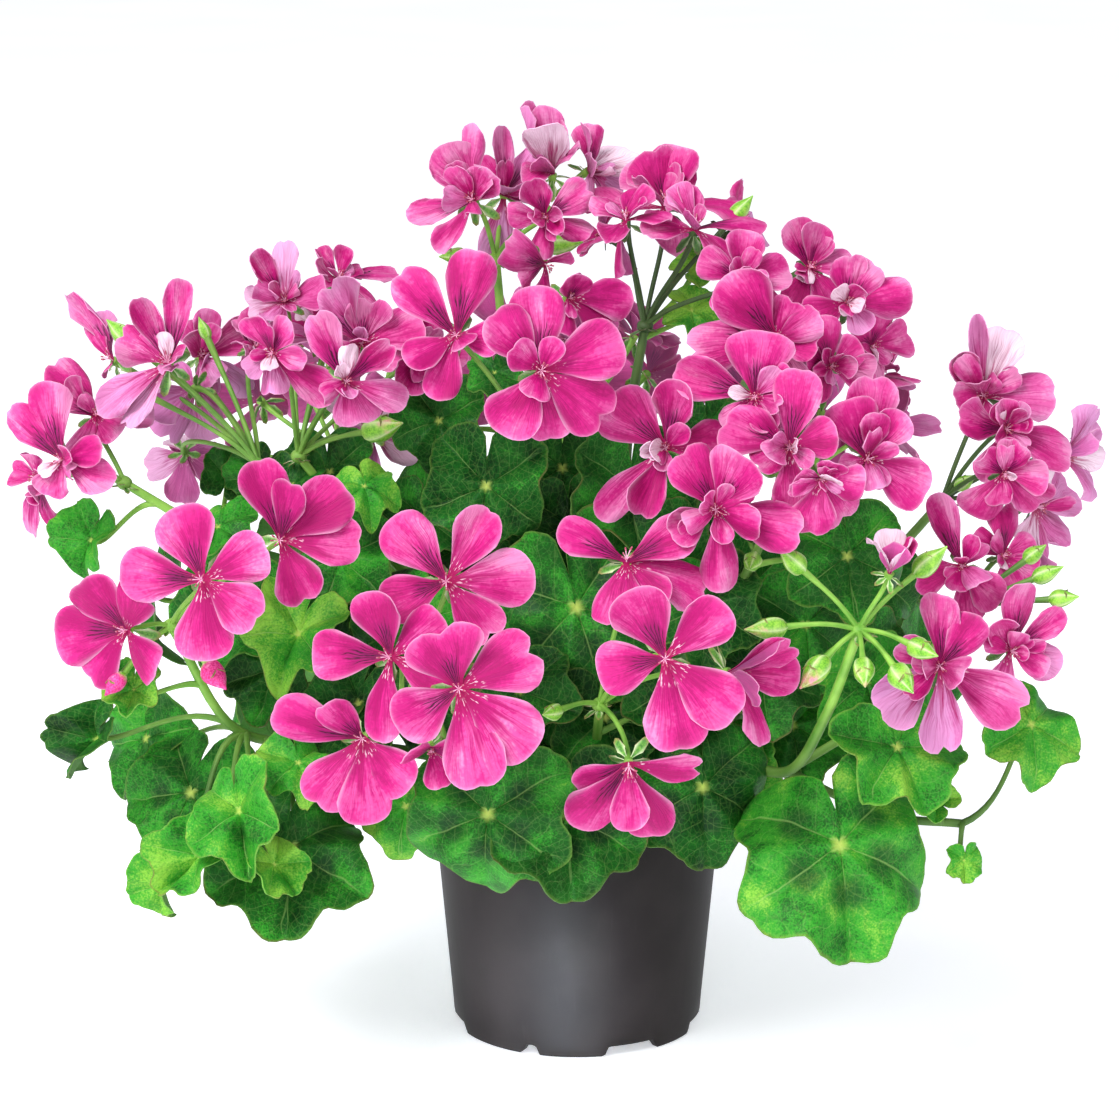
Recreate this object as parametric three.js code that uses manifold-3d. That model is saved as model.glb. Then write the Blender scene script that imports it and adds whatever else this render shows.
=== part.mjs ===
// A potted ivy geranium: a black nursery pot full of peat, shoots with shield-shaped leaves,
// and umbels of pink five-petalled florets. Millimetres, +Z up, the front of the plant faces -Y.
// The origin is the middle of the pot's foot, on the ground.
import * as THREE from 'three';
import { mergeVertices } from 'three/addons/utils/BufferGeometryUtils.js';
import Module from 'manifold-3d';

const wasm = await Module();
wasm.setup();

// Driving dimensions.
const POT_HEIGHT = 105;
const POT_FOOT_RADIUS = 50;
const POT_RIM_RADIUS = 60.4;
const POT_WALL = 1.5;
const POT_SIDES = 24;
const SOIL_SIDES = 12;
const FOOT_RISE = 4.5;
const SOIL_EDGE_HEIGHT = 94;
const SOIL_MOUND = 5;
const STEM_RADIUS = 2.6;
const BRANCH_RADIUS = 1.7;
const PETIOLE_RADIUS = 1.0;
const PEDICEL_RADIUS = 0.9;
const CALYX_RADIUS = 2.8;
const KNOB_RADIUS = 3.2;
const PETAL_THICKNESS = 0.8;
const LEAF_THICKNESS = 0.9;
const GAP = 0.3;

const green = { color: 0x2f8f2f, roughness: 0.5 };
const pink = { color: 0xe23a93, roughness: 0.65 };

const vec = (list) => new THREE.Vector3(list[0], list[1], list[2]);
const radians = THREE.MathUtils.degToRad;

// Solids from closed three.js geometry, and back again.

function solidOf(geometry) {
  geometry.deleteAttribute('normal');
  geometry.deleteAttribute('uv');
  const merged = mergeVertices(geometry, 1e-4);
  return new wasm.Manifold(new wasm.Mesh({
    numProp: 3,
    vertProperties: Float32Array.from(merged.attributes.position.array),
    triVerts: Uint32Array.from(merged.index.array),
  }));
}

function meshOf(name, solid, look) {
  const data = solid.getMesh();
  const geometry = new THREE.BufferGeometry();
  geometry.setAttribute('position', new THREE.BufferAttribute(data.vertProperties, 3));
  geometry.setIndex(new THREE.BufferAttribute(data.triVerts, 1));
  geometry.computeVertexNormals();
  const mesh = new THREE.Mesh(geometry, new THREE.MeshStandardMaterial({ metalness: 0, ...look }));
  mesh.name = name;
  return mesh;
}

function indexedGeometry(points, triangles) {
  const geometry = new THREE.BufferGeometry();
  geometry.setAttribute('position', new THREE.Float32BufferAttribute(points.flatMap((p) => p.toArray()), 3));
  geometry.setIndex(triangles.flat());
  return geometry;
}

const join = (solids) => wasm.Manifold.union(solids);

// The way a blade faces: azimuth 0 is the front (-Y) and 90 is +X, elevation is above the horizon,
// and roll turns its top clockwise as seen by someone it faces.
function bladeFrame(azimuth, elevation, roll) {
  const level = Math.cos(radians(elevation));
  const facing = new THREE.Vector3(
    Math.sin(radians(azimuth)) * level,
    -Math.cos(radians(azimuth)) * level,
    Math.sin(radians(elevation)),
  );
  const up = new THREE.Vector3(0, 0, 1).addScaledVector(facing, -facing.z).normalize();
  const right = up.clone().cross(facing);
  const top = up.clone().multiplyScalar(Math.cos(radians(roll))).addScaledVector(right, Math.sin(radians(roll)));
  return { facing, top, side: top.clone().cross(facing) };
}

// A tube along a curve. Each station is [share of the length, radius]; both ends are capped.
function tube(curve, stations, sides, extra = 0) {
  const points = [];
  const triangles = [];
  let across = null;
  stations.forEach(([share, radius], ring) => {
    const along = curve.getTangentAt(share);
    if (across === null) {
      across = Math.abs(along.z) > 0.9 ? new THREE.Vector3(1, 0, 0) : new THREE.Vector3(0, 0, 1);
    }
    across.addScaledVector(along, -across.dot(along)).normalize();
    const other = along.clone().cross(across);
    const middle = curve.getPointAt(share);
    const overrun = ring === 0 ? -extra : (ring === stations.length - 1 ? extra : 0);
    middle.addScaledVector(along, overrun);
    for (let k = 0; k < sides; k += 1) {
      const turn = (2 * Math.PI * k) / sides;
      points.push(middle.clone()
        .addScaledVector(across, Math.cos(turn) * (radius + extra))
        .addScaledVector(other, Math.sin(turn) * (radius + extra)));
    }
  });
  for (let ring = 0; ring + 1 < stations.length; ring += 1) {
    for (let k = 0; k < sides; k += 1) {
      const a = ring * sides + k;
      const b = ring * sides + ((k + 1) % sides);
      triangles.push([a, b, b + sides], [a, b + sides, a + sides]);
    }
  }
  const last = (stations.length - 1) * sides;
  for (let k = 1; k + 1 < sides; k += 1) {
    triangles.push([0, k + 1, k], [last, last + k, last + k + 1]);
  }
  return solidOf(indexedGeometry(points, triangles));
}

// A thin blade: its upper and under face have the same triangles, and a rim joins them.
// The outline and the triangles run counter-clockwise seen from the upper face.
function blade(points, triangles, outline, thickness) {
  const normals = points.map(() => new THREE.Vector3());
  for (const [a, b, c] of triangles) {
    const ab = points[b].clone().sub(points[a]);
    const ac = points[c].clone().sub(points[a]);
    const normal = ab.cross(ac);
    for (const corner of [a, b, c]) {
      normals[corner].add(normal);
    }
  }
  const count = points.length;
  const lift = (sign) => points.map((p, i) => p.clone().addScaledVector(normals[i].normalize(), (sign * thickness) / 2));
  const all = [...triangles, ...triangles.map(([a, b, c]) => [c + count, b + count, a + count])];
  outline.forEach((here, k) => {
    const next = outline[(k + 1) % outline.length];
    all.push([here + count, next + count, next], [here + count, next, here]);
  });
  return solidOf(indexedGeometry([...lift(1), ...lift(-1)], all));
}

// A floret: five petals, two above and three below, joined at a small heart.
// Cup 0 is flat and cup 1 is half closed. Open petals have three corners beyond the bays, cupped
// ones two. Extra swells the floret for the gap to its neighbours.
const PETAL_ANGLES = [-36, 36, 113, 175, 237];

const petalLean = (cup) => radians(10 + 50 * cup);

// How far a petal has risen towards the front at a distance from the stalk's line.
const petalRise = (cup, along, reach) => Math.sin(petalLean(cup)) * along * (1 - (0.35 * along) / reach);
const bayDistance = (reach) => 0.12 * reach + 1;

function floret([x, y, z, azimuth, elevation, roll, width, cup], extra = 0) {
  const { facing, top, side } = bladeFrame(azimuth, elevation, roll);
  const heart = new THREE.Vector3(x, y, z);
  const reach = width / 2 + extra;
  const lean = petalLean(cup);
  const open = cup < 0.4;
  const widest = open ? 0.74 : 0.9;
  const points = [];
  const place = (angle, along, sideways) => {
    const turn = radians(angle);
    const out = top.clone().multiplyScalar(Math.cos(turn)).addScaledVector(side, Math.sin(turn));
    const cross = out.clone().cross(facing);
    points.push(heart.clone()
      .addScaledVector(out, Math.cos(lean) * along)
      .addScaledVector(cross, sideways)
      .addScaledVector(facing, petalRise(cup, along, reach)));
  };
  PETAL_ANGLES.forEach((angle, k) => {
    const before = k === 0 ? PETAL_ANGLES[4] - 360 : PETAL_ANGLES[k - 1];
    const after = k === 4 ? PETAL_ANGLES[0] + 360 : PETAL_ANGLES[k + 1];
    const roomFor = (gap) => 0.88 * widest * Math.cos(lean) * Math.tan(radians(gap / 2));
    const halfWidth = (gap) => Math.min(0.4, roomFor(gap)) * reach;
    place((before + angle) / 2, bayDistance(reach), 0);
    place(angle, widest * reach, -halfWidth(angle - before));
    if (open) {
      place(angle, reach, 0);
    }
    place(angle, widest * reach, halfWidth(after - angle));
  });
  // The points run clockwise, each petal starting with the bay before it.
  const corners = open ? 4 : 3;
  const triangles = [2, 3, 4].map((bay) => [bay * corners, (bay - 1) * corners, 0]);
  for (let petal = 0; petal < 5; petal += 1) {
    const bay = corners * petal;
    const last = bay + corners - 1;
    triangles.push([(bay + corners) % (5 * corners), last, bay], [last, bay + 1, bay]);
    if (open) {
      triangles.push([last, bay + 2, bay + 1]);
    }
  }
  const outline = points.map((point, k) => k).reverse();
  return blade(points, triangles, outline, PETAL_THICKNESS + 2 * extra);
}

// A leaf: a shield with five lobes, held from beneath a little behind its middle. Its lobes dip and
// the bays between them rise; fold lifts the two halves towards each other. Large leaves have blunt
// lobes with two corners, small ones a single corner: [angle from the tip, reach, rise].
const LARGE_LEAF = 62;
const BLUNT_LOBES = [
  [14, 1.0, -0.05], [31, 0.8, 0.12], [50, 1.0, -0.04], [74, 0.98, -0.07], [94, 0.78, 0.12],
  [113, 0.9, -0.04], [142, 0.84, -0.03],
];
const PLAIN_LOBES = [[30, 0.76, 0.1], [62, 1.0, -0.05], [94, 0.76, 0.1], [127, 0.92, -0.03]];

function leaf([x, y, z, azimuth, elevation, roll, width, fold], extra = 0) {
  const { facing, top, side } = bladeFrame(azimuth, elevation, roll);
  const middle = new THREE.Vector3(x, y, z);
  const reach = width / 2 + extra;
  const swing = radians(45 * fold);
  const points = [];
  const place = (angle, share, rise) => {
    const along = Math.cos(radians(angle)) * share * reach;
    const sideways = Math.sin(radians(angle)) * share * reach;
    points.push(middle.clone()
      .addScaledVector(top, along)
      .addScaledVector(side, sideways * Math.cos(swing))
      .addScaledVector(facing, rise * reach + Math.abs(sideways) * Math.sin(swing)));
  };
  const lobes = width > LARGE_LEAF ? BLUNT_LOBES : PLAIN_LOBES;
  place(0, 0.12, 0);
  if (width <= LARGE_LEAF) {
    place(0, 1, -0.05);
  }
  lobes.forEach(([angle, share, rise]) => place(angle, share, rise));
  place(180, 0.5, 0.05);
  [...lobes].reverse().forEach(([angle, share, rise]) => place(-angle, share, rise));
  const outline = points.slice(1).map((point, k) => k + 1).reverse();
  const triangles = outline.map((here, k) => [0, here, outline[(k + 1) % outline.length]]);
  return blade(points, triangles, outline, LEAF_THICKNESS + 2 * extra);
}

// A stalk that leaves one point along a first direction and arrives beneath a leaf or floret.
function stalkCurve(start, leaving, end, arriving) {
  const reach = start.distanceTo(end) * 0.4;
  return new THREE.CubicBezierCurve3(
    start,
    start.clone().addScaledVector(leaving, reach),
    end.clone().addScaledVector(arriving, -reach),
    end,
  );
}

// The shoots. Each has a main stem rising from the soil and branches that end in an umbel's hub or a
// leafy tip; leaves stand on stalks from the nearest stem. Points are [x, y, z].
const SHOOTS = {
  far_left: {
    stems: [
      [[-36, -6, 76], [-44, -8, 118], [-80, -14, 160], [-122, -20, 192], [-177, -25, 228]],
      [[-80, -14, 160], [-104, -22, 200], [-124, -30, 236]],
    ],
    leaves: [
      [-190, -26, 205, -30, 30, 200, 34, 0.7],
      [-140, -34, 212, 0, 60, 190, 40, 0.2],
      [-134, -36, 180, -15, 30, 190, 56, 0],
      [-139, 0, 224, 10, 40, 20, 28, 0.5],
      [-172, 20, 172, -70, 30, 180, 52, 0.1],
      [-100, 8, 196, -10, 45, 170, 44, 0.1],
    ],
  },
  left_front: {
    stems: [
      [[-30, -22, 76], [-40, -30, 112], [-66, -42, 124], [-100, -52, 130], [-131, -62, 138], [-154, -80, 184]],
    ],
    leaves: [
      [-150, -58, 112, -20, 30, 200, 65, 0],
      [-109, -92, 100, -5, 35, 180, 75, 0],
      [-128, -116, 118, -15, 25, 170, 56, 0.5],
      [-158, -92, 86, -40, 5, 190, 34, 0.8],
      [-105, -104, 137, 10, 50, 170, 36, 0],
      [-186, -56, 133, -30, 30, 220, 50, 0.6],
      [-168, -84, 160, -10, 50, 180, 28, 0.2],
      [-170, -30, 126, -50, 30, 190, 54, 0],
    ],
  },
  centre_left_front: {
    stems: [
      [[-15, -28, 76], [-24, -50, 112], [-44, -82, 134], [-66, -108, 155]],
    ],
    leaves: [
      [-38, -106, 118, -5, 15, 185, 76, 0.2],
      [-66, -76, 112, -10, 20, 190, 46, 0.1],
      [-61, -58, 180, -15, 30, 190, 60, 0],
    ],
  },
  up_left: {
    stems: [
      [[-20, 2, 76], [-32, -2, 130], [-60, -8, 178], [-90, -15, 212], [-109, -22, 238]],
    ],
    leaves: [
      [-107, -62, 176, -5, 45, 200, 50, 0.4],
      [-82, -52, 232, 10, 50, 170, 32, 0],
      [-92, -42, 202, -10, 30, 190, 56, 0],
    ],
  },
  up_centre: {
    stems: [
      [[-4, 8, 76], [-12, 6, 140], [-24, 2, 220], [-32, -5, 313]],
    ],
    leaves: [
      [-54, -22, 252, -10, 30, 190, 46, 0.1],
    ],
  },
  centre_top: {
    stems: [
      [[0, -12, 76], [-4, -20, 140], [-12, -34, 200], [-22, -58, 257]],
    ],
    leaves: [
      [-1, -62, 187, 10, 25, 165, 78, 0],
      [-35, -60, 234, -10, 20, 185, 60, 0],
      [-32, -40, 274, -10, 40, 170, 26, 0.1],
    ],
  },
  top_right: {
    stems: [
      [[14, 6, 76], [17, 0, 140], [18, -8, 200], [20, -16, 250], [26, -20, 289]],
      [[18, -8, 200], [46, -22, 232], [76, -40, 261]],
    ],
    leaves: [
      [20, -40, 230, 15, 20, 180, 54, 0.1],
      [46, -4, 309, 20, 45, 60, 26, 0.2],
      [44, -14, 294, 20, 40, 120, 28, 0.1],
    ],
  },
  centre_right_front: {
    stems: [
      [[10, -30, 76], [9, -50, 112], [7, -74, 134], [8, -90, 156]],
    ],
    leaves: [
      [1, -98, 107, 5, 20, 180, 72, 0],
      [47, -84, 122, 15, 20, 180, 64, 0],
      [56, -62, 126, 10, 30, 190, 44, 0.1],
    ],
  },
  right_middle: {
    stems: [
      [[26, -18, 76], [34, -28, 120], [54, -48, 172], [72, -70, 221]],
    ],
    leaves: [
      [48, -68, 190, 10, 30, 185, 54, 0],
      [102, -66, 208, 10, 20, 175, 56, 0],
      [68, -28, 188, 20, 30, 180, 58, 0],
    ],
  },
  right_front: {
    stems: [
      [[32, -28, 76], [40, -36, 112], [58, -56, 124], [80, -80, 127], [92, -97, 152], [103, -115, 191]],
      [[80, -80, 127], [114, -84, 152], [144, -80, 188]],
      [[80, -80, 127], [116, -88, 112], [146, -86, 108]],
    ],
    leaves: [
      [96, -116, 108, 15, 25, 180, 80, 0],
      [119, -100, 142, 20, 35, 160, 56, 0.3],
      [171, -86, 147, 20, 35, 120, 48, 0.1],
      [109, -80, 162, 20, 40, 180, 44, 0],
      [136, -92, 118, -20, 40, 300, 20, 0.4],
      [146, -94, 96, 20, 10, 180, 18, 0.3],
    ],
  },
  far_right: {
    stems: [
      [[38, -2, 76], [60, -8, 122], [96, -12, 168], [125, -16, 198], [143, -20, 220]],
    ],
    leaves: [
      [88, -46, 176, 15, 30, 180, 56, 0],
      [84, -40, 134, 20, 25, 180, 54, 0.1],
      [140, 0, 150, 70, 30, 180, 60, 0.1],
      [112, 16, 190, 30, 45, 170, 48, 0.1],
    ],
  },
  back_left: {
    stems: [
      [[-26, 24, 76], [-48, 38, 128], [-78, 52, 178], [-98, 62, 216]],
    ],
    leaves: [
      [-56, 22, 204, -10, 30, 180, 58, 0],
      [-128, 60, 130, -110, 35, 180, 64, 0],
      [-100, 104, 112, -150, 35, 180, 66, 0],
      [-140, 46, 168, -100, 35, 180, 54, 0.1],
      [-76, 110, 160, -170, 40, 180, 62, 0],
      [-60, 70, 196, -160, 60, 180, 52, 0.1],
    ],
  },
  back_centre: {
    stems: [
      [[0, 32, 76], [0, 50, 128], [-2, 70, 178], [-5, 84, 222]],
    ],
    leaves: [
      [-6, 24, 224, 0, 30, 180, 60, 0],
      [-12, 22, 162, -5, 35, 180, 60, 0],
      [-34, 128, 110, -170, 35, 180, 68, 0],
      [30, 130, 116, 165, 35, 180, 66, 0],
      [0, 122, 162, 180, 40, 185, 60, 0],
      [34, 92, 196, 160, 55, 180, 52, 0.1],
      [-30, 104, 190, -165, 45, 180, 46, 0],
    ],
  },
  back_right: {
    stems: [
      [[26, 22, 76], [50, 36, 128], [78, 50, 178], [96, 58, 214]],
    ],
    leaves: [
      [42, 24, 212, 10, 30, 180, 58, 0],
      [124, 62, 126, 110, 35, 180, 66, 0],
      [92, 106, 116, 145, 35, 180, 66, 0],
      [136, 40, 168, 100, 35, 180, 54, 0.1],
      [74, 112, 162, 165, 40, 180, 60, 0],
      [62, 62, 196, 150, 60, 180, 50, 0.1],
    ],
  },
};

// The umbels. Each stands on the last point of one stem of a shoot. A floret is
// [x, y, z, azimuth, elevation, roll, width, cup]; a bud is [x, y, z, length].
const UMBELS = {
  far_left: {
    hub: [-177, -25, 228],
    shoot: 'far_left',
    florets: [
      [-199, -50, 244, -30, 15, -20, 56, 0.25],
      [-188, -22, 256, 30, 50, -20, 48, 0.5],
      [-212, -20, 226, -60, 5, -50, 42, 0.35],
    ],
    buds: [],
  },
  upper_left: {
    hub: [-124, -30, 236],
    shoot: 'far_left',
    florets: [
      [-157, -38, 280, -5, 45, 10, 52, 0.4],
      [-151, 0, 261, -150, -10, 0, 46, 0.2],
      [-193, 0, 280, -70, 40, 0, 38, 1.0],
      [-158, 25, 230, 170, -30, 0, 44, 0.5],
      [-138, 12, 278, 30, 40, 0, 46, 0.3],
    ],
    buds: [[-184, -10, 290, 12]],
  },
  left_centre: {
    hub: [-109, -22, 238],
    shoot: 'up_left',
    florets: [
      [-116, -12, 300, -10, 70, 0, 42, 0.7],
      [-90, 2, 307, 20, 70, 30, 44, 0.5],
      [-115, -60, 285, -20, 10, 20, 44, 0.3],
      [-86, -76, 280, 10, 15, 10, 54, 0.35],
      [-80, -38, 294, 0, 35, 0, 48, 0.3],
      [-83, 26, 238, 160, -10, 0, 46, 0.3],
      [-62, -16, 276, 20, 20, -20, 46, 0.3],
    ],
    buds: [[-66, -46, 256, 18]],
  },
  top: {
    hub: [-32, -5, 313],
    shoot: 'up_centre',
    florets: [
      [-39, -24, 339, -35, 35, -20, 54, 0.4],
      [-27, 14, 341, 15, 40, 0, 46, 0.4],
      [-10, -4, 354, -10, 60, 0, 48, 0.8],
      [10, 8, 346, 60, 25, 0, 44, 0.5],
      [-16, -34, 336, 15, 20, 30, 42, 0.4],
      [-17, -38, 318, -10, -30, 0, 36, 0.9],
    ],
    buds: [[-56, -12, 315, 12], [2, -14, 321, 14]],
  },
  top_right: {
    hub: [26, -20, 289],
    shoot: 'top_right',
    florets: [
      [14, -44, 331, -60, 55, 0, 46, 0.25],
      [34, -6, 340, 0, 75, 0, 50, 0.45],
      [55, -40, 333, 50, 55, 0, 46, 0.25],
      [60, 8, 321, 70, 25, 0, 40, 0.3],
      [8, 4, 319, -90, 15, 0, 40, 0.3],
      [63, -54, 312, 15, 15, 0, 44, 0.4],
    ],
    buds: [[68, -6, 338, 11]],
  },
  centre_top: {
    hub: [-22, -58, 257],
    shoot: 'centre_top',
    florets: [
      [-46, -94, 299, -5, 10, -10, 50, 0.3],
      [-12, -116, 288, 5, 15, -20, 60, 0.2],
      [4, -62, 302, 40, 35, 0, 46, 0.4],
    ],
    buds: [],
  },
  right_upper: {
    hub: [76, -40, 261],
    shoot: 'top_right',
    florets: [
      [70, -84, 294, -5, 15, 0, 48, 0.3],
      [89, -24, 313, 10, 40, 20, 44, 0.4],
      [101, -58, 304, 10, 10, 0, 40, 0.3],
      [114, -36, 284, 60, 0, 0, 42, 0.4],
      [63, -108, 275, -5, 10, 0, 52, 0.3],
      [94, -72, 282, 20, 10, 20, 44, 0.3],
    ],
    buds: [],
  },
  right_middle: {
    hub: [72, -70, 221],
    shoot: 'right_middle',
    florets: [
      [30, -98, 257, -20, 15, 10, 54, 0.4],
      [50, -132, 240, 0, 10, 15, 52, 0.35],
      [76, -118, 262, 0, 15, 0, 48, 0.3],
      [88, -128, 238, 10, -10, 20, 46, 0.4],
      [106, -108, 256, 15, 5, 0, 52, 0.3],
    ],
    buds: [[62, -118, 214, 12]],
  },
  far_right: {
    hub: [143, -20, 220],
    shoot: 'far_right',
    florets: [
      [158, -18, 261, -10, 25, 0, 54, 0.6],
      [165, -40, 250, 20, 20, 20, 46, 0.4],
      [163, -56, 231, 10, -5, 0, 40, 0.4],
      [190, -8, 235, 110, 10, 0, 40, 0.7],
      [178, -28, 219, 130, 10, 0, 44, 0.6],
    ],
    buds: [[155, -28, 232, 10]],
  },
  lower_right: {
    hub: [144, -80, 188],
    shoot: 'right_front',
    florets: [
      [133, -116, 181, -10, 10, 0, 56, 0.25],
      [161, -98, 184, 20, 5, 20, 52, 0.3],
      [143, -92, 210, -10, 20, 0, 46, 0.4],
      [162, -58, 205, 20, 30, 0, 44, 0.4],
    ],
    buds: [[182, -84, 208, 11], [188, -94, 199, 11]],
  },
  bud: {
    hub: [103, -115, 191],
    shoot: 'right_front',
    florets: [],
    buds: [
      [72, -132, 226, 15], [113, -122, 222, 13], [135, -112, 222, 14], [60, -130, 195, 14],
      [130, -143, 188, 14], [80, -138, 175, 16], [103, -146, 181, 13], [121, -150, 177, 15],
    ],
  },
  left_front: {
    hub: [-154, -80, 184],
    shoot: 'left_front',
    florets: [
      [-139, -114, 210, -15, 15, -58, 60, 0.2],
      [-109, -92, 222, -5, 15, 18, 54, 0.3],
      [-172, -98, 190, -25, 10, -10, 52, 0.3],
    ],
    buds: [[-129, -110, 170, 13], [-177, -106, 164, 12]],
  },
  centre_left_front: {
    hub: [-66, -108, 155],
    shoot: 'centre_left_front',
    florets: [
      [-47, -130, 215, -5, 15, -75, 60, 0.2],
      [-43, -160, 184, 0, 10, -77, 61, 0.15],
      [-76, -134, 189, -20, 10, -40, 52, 0.35],
      [-80, -132, 154, -5, 0, -22, 50, 0.3],
    ],
    buds: [],
  },
  centre_right_front: {
    hub: [8, -90, 156],
    shoot: 'centre_right_front',
    florets: [
      [17, -134, 221, 0, 45, -15, 50, 0.3],
      [30, -168, 195, 0, 10, -74, 58, 0.2],
      [54, -138, 181, 30, 10, 20, 46, 0.5],
      [18, -138, 144, 0, -42, 0, 64, 0.4],
    ],
    buds: [[-14, -120, 160, 11]],
  },
  back_left: {
    hub: [-98, 62, 216],
    shoot: 'back_left',
    florets: [
      [-132, 78, 242, -140, 25, 0, 54, 0.25],
      [-102, 104, 238, -175, 20, 20, 54, 0.25],
      [-72, 88, 246, 160, 40, 0, 50, 0.3],
      [-102, 66, 260, -170, 60, 0, 48, 0.35],
    ],
    buds: [[-148, 62, 222, 12]],
  },
  back_centre: {
    hub: [-5, 84, 222],
    shoot: 'back_centre',
    florets: [
      [-32, 114, 246, -160, 25, 0, 54, 0.25],
      [2, 132, 240, 180, 15, 20, 56, 0.2],
      [30, 110, 248, 150, 30, 0, 52, 0.3],
      [-2, 94, 264, 175, 60, 0, 48, 0.35],
    ],
    buds: [[42, 100, 224, 12]],
  },
  back_right: {
    hub: [96, 58, 214],
    shoot: 'back_right',
    florets: [
      [72, 94, 242, 165, 25, 0, 54, 0.25],
      [104, 104, 232, 170, 10, 20, 54, 0.25],
      [128, 72, 234, 130, 25, 0, 50, 0.3],
      [98, 66, 258, 160, 60, 0, 46, 0.35],
    ],
    buds: [[76, 84, 212, 12]],
  },
};

// The pot: one lathed profile, with seven notches under the foot and seven holes in the floor.
// The floor's middle comes down to the ground, so that the pot also rests there.
const POT_PROFILE = [
  [0, 0], [18, 0], [20, FOOT_RISE], [44, FOOT_RISE], [46.5, 0], [POT_FOOT_RADIUS, 0],
  [58.6, 94], [POT_RIM_RADIUS, 95.5], [POT_RIM_RADIUS, POT_HEIGHT], [POT_RIM_RADIUS - POT_WALL, POT_HEIGHT],
  [58.6 - POT_WALL, 94], [48.6, 8], [46, FOOT_RISE + POT_WALL], [19, FOOT_RISE + POT_WALL],
  [17, POT_WALL], [0, POT_WALL],
];
const NOTCHES = [[-77, 24], [-22, 8], [26, 24], [77, 24], [128, 8], [180, 24], [-128, 24]];

function lathed(profile, sides) {
  const outline = profile.map(([radius, height]) => new THREE.Vector2(radius, height));
  const geometry = new THREE.LatheGeometry([...outline, outline[0]], sides);
  return solidOf(geometry.rotateX(Math.PI / 2));
}

function potSolid() {
  const cuts = NOTCHES.map(([angle, width]) => {
    const notch = new THREE.BoxGeometry(width, 12, 2 * FOOT_RISE - 1);
    notch.translate(0, -(POT_FOOT_RADIUS - 1), 0);
    return solidOf(notch.rotateZ(radians(angle)));
  });
  for (let k = 0; k < 7; k += 1) {
    const hole = new THREE.CylinderGeometry(4, 4, 12, 6);
    hole.rotateX(Math.PI / 2).translate(36, 0, FOOT_RISE).rotateZ(((k + 0.5) * 2 * Math.PI) / 7);
    cuts.push(solidOf(hole));
  }
  return lathed(POT_PROFILE, POT_SIDES).subtract(join(cuts));
}

// The peat fills the pot to below the rim and rises a little towards the middle.
const soilRadiusAt = (height) => 48.6 + ((height - 8) * (58.6 - POT_WALL - 48.6)) / 86 - GAP;

function soilSolid() {
  const bottom = FOOT_RISE + POT_WALL + GAP;
  return lathed([
    [0, bottom], [45.4, bottom], [soilRadiusAt(8.5), 8.5], [soilRadiusAt(SOIL_EDGE_HEIGHT), SOIL_EDGE_HEIGHT],
    [38, SOIL_EDGE_HEIGHT + 0.5 * SOIL_MOUND], [20, SOIL_EDGE_HEIGHT + 0.8 * SOIL_MOUND],
    [0, SOIL_EDGE_HEIGHT + SOIL_MOUND],
  ], SOIL_SIDES);
}

// Everything green on one shoot, and the swollen copies that its neighbours keep clear of.
// A stem that carries an umbel stops just short of the umbel's knob.
function stemCurve(points) {
  const path = points.map(vec);
  const tip = path.at(-1);
  if (Object.values(UMBELS).some((umbel) => vec(umbel.hub).distanceTo(tip) < 1)) {
    const back = path.at(-2).clone().sub(tip).setLength(KNOB_RADIUS + 2 * GAP);
    path[path.length - 1] = tip.clone().add(back);
  }
  return new THREE.CatmullRomCurve3(path, false, 'centripetal');
}

function stemTubes(shoot, extra) {
  return shoot.stems.map((points, k) => {
    const radius = k === 0 ? STEM_RADIUS : BRANCH_RADIUS;
    const stations = points.map((unused, ring) => {
      const share = ring / (points.length - 1);
      return [share, radius + (BRANCH_RADIUS - radius) * share];
    });
    return tube(stemCurve(points), stations, 5, extra);
  });
}

// The best place for a leaf's stalk to start: near the leaf, and rather below it than above.
function nearestOnStems(shoot, target) {
  let best = null;
  shoot.stems.forEach((points) => {
    const spine = stemCurve(points).getSpacedPoints(points.length - 1);
    for (let k = 1; k < points.length; k += 1) {
      for (const share of [0.1, 0.3, 0.5, 0.7, 0.9]) {
        const point = spine[k - 1].clone().lerp(spine[k], share);
        const cost = point.distanceTo(target) + 0.4 * Math.max(0, point.z - target.z + 12) + (point.z < 104 ? 50 : 0);
        if (best === null || cost < best.cost) {
          best = { cost, point };
        }
      }
    }
  });
  return best.point;
}

function petioleTube(shoot, spec, extra) {
  const end = vec(spec);
  const { facing } = bladeFrame(spec[3], spec[4], spec[5]);
  const start = nearestOnStems(shoot, end.clone().addScaledVector(facing, -8));
  const leaving = end.clone().sub(start).setZ(0).normalize().add(new THREE.Vector3(0, 0, 0.4)).normalize();
  const curve = stalkCurve(start, leaving, end, facing);
  return tube(curve, [[0, PETIOLE_RADIUS + 0.3], [0.5, PETIOLE_RADIUS], [1, PETIOLE_RADIUS]], 3, extra);
}

// A pedicel widens at its top into the calyx, which stops just behind the petals.
function pedicelTube(hub, spec, extra) {
  const heart = vec(spec);
  const { facing } = bladeFrame(spec[3], spec[4], 0);
  const end = heart.addScaledVector(facing, petalRise(spec[7], bayDistance(spec[6] / 2), spec[6] / 2));
  const leaving = end.clone().sub(hub).normalize().add(new THREE.Vector3(0, 0, 0.3)).normalize();
  const curve = stalkCurve(hub, leaving, end, facing);
  const share = 1 - 7 / curve.getLength();
  return tube(curve, [[0, PEDICEL_RADIUS], [share, PEDICEL_RADIUS + 0.2], [1, CALYX_RADIUS]], 3, extra);
}

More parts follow.
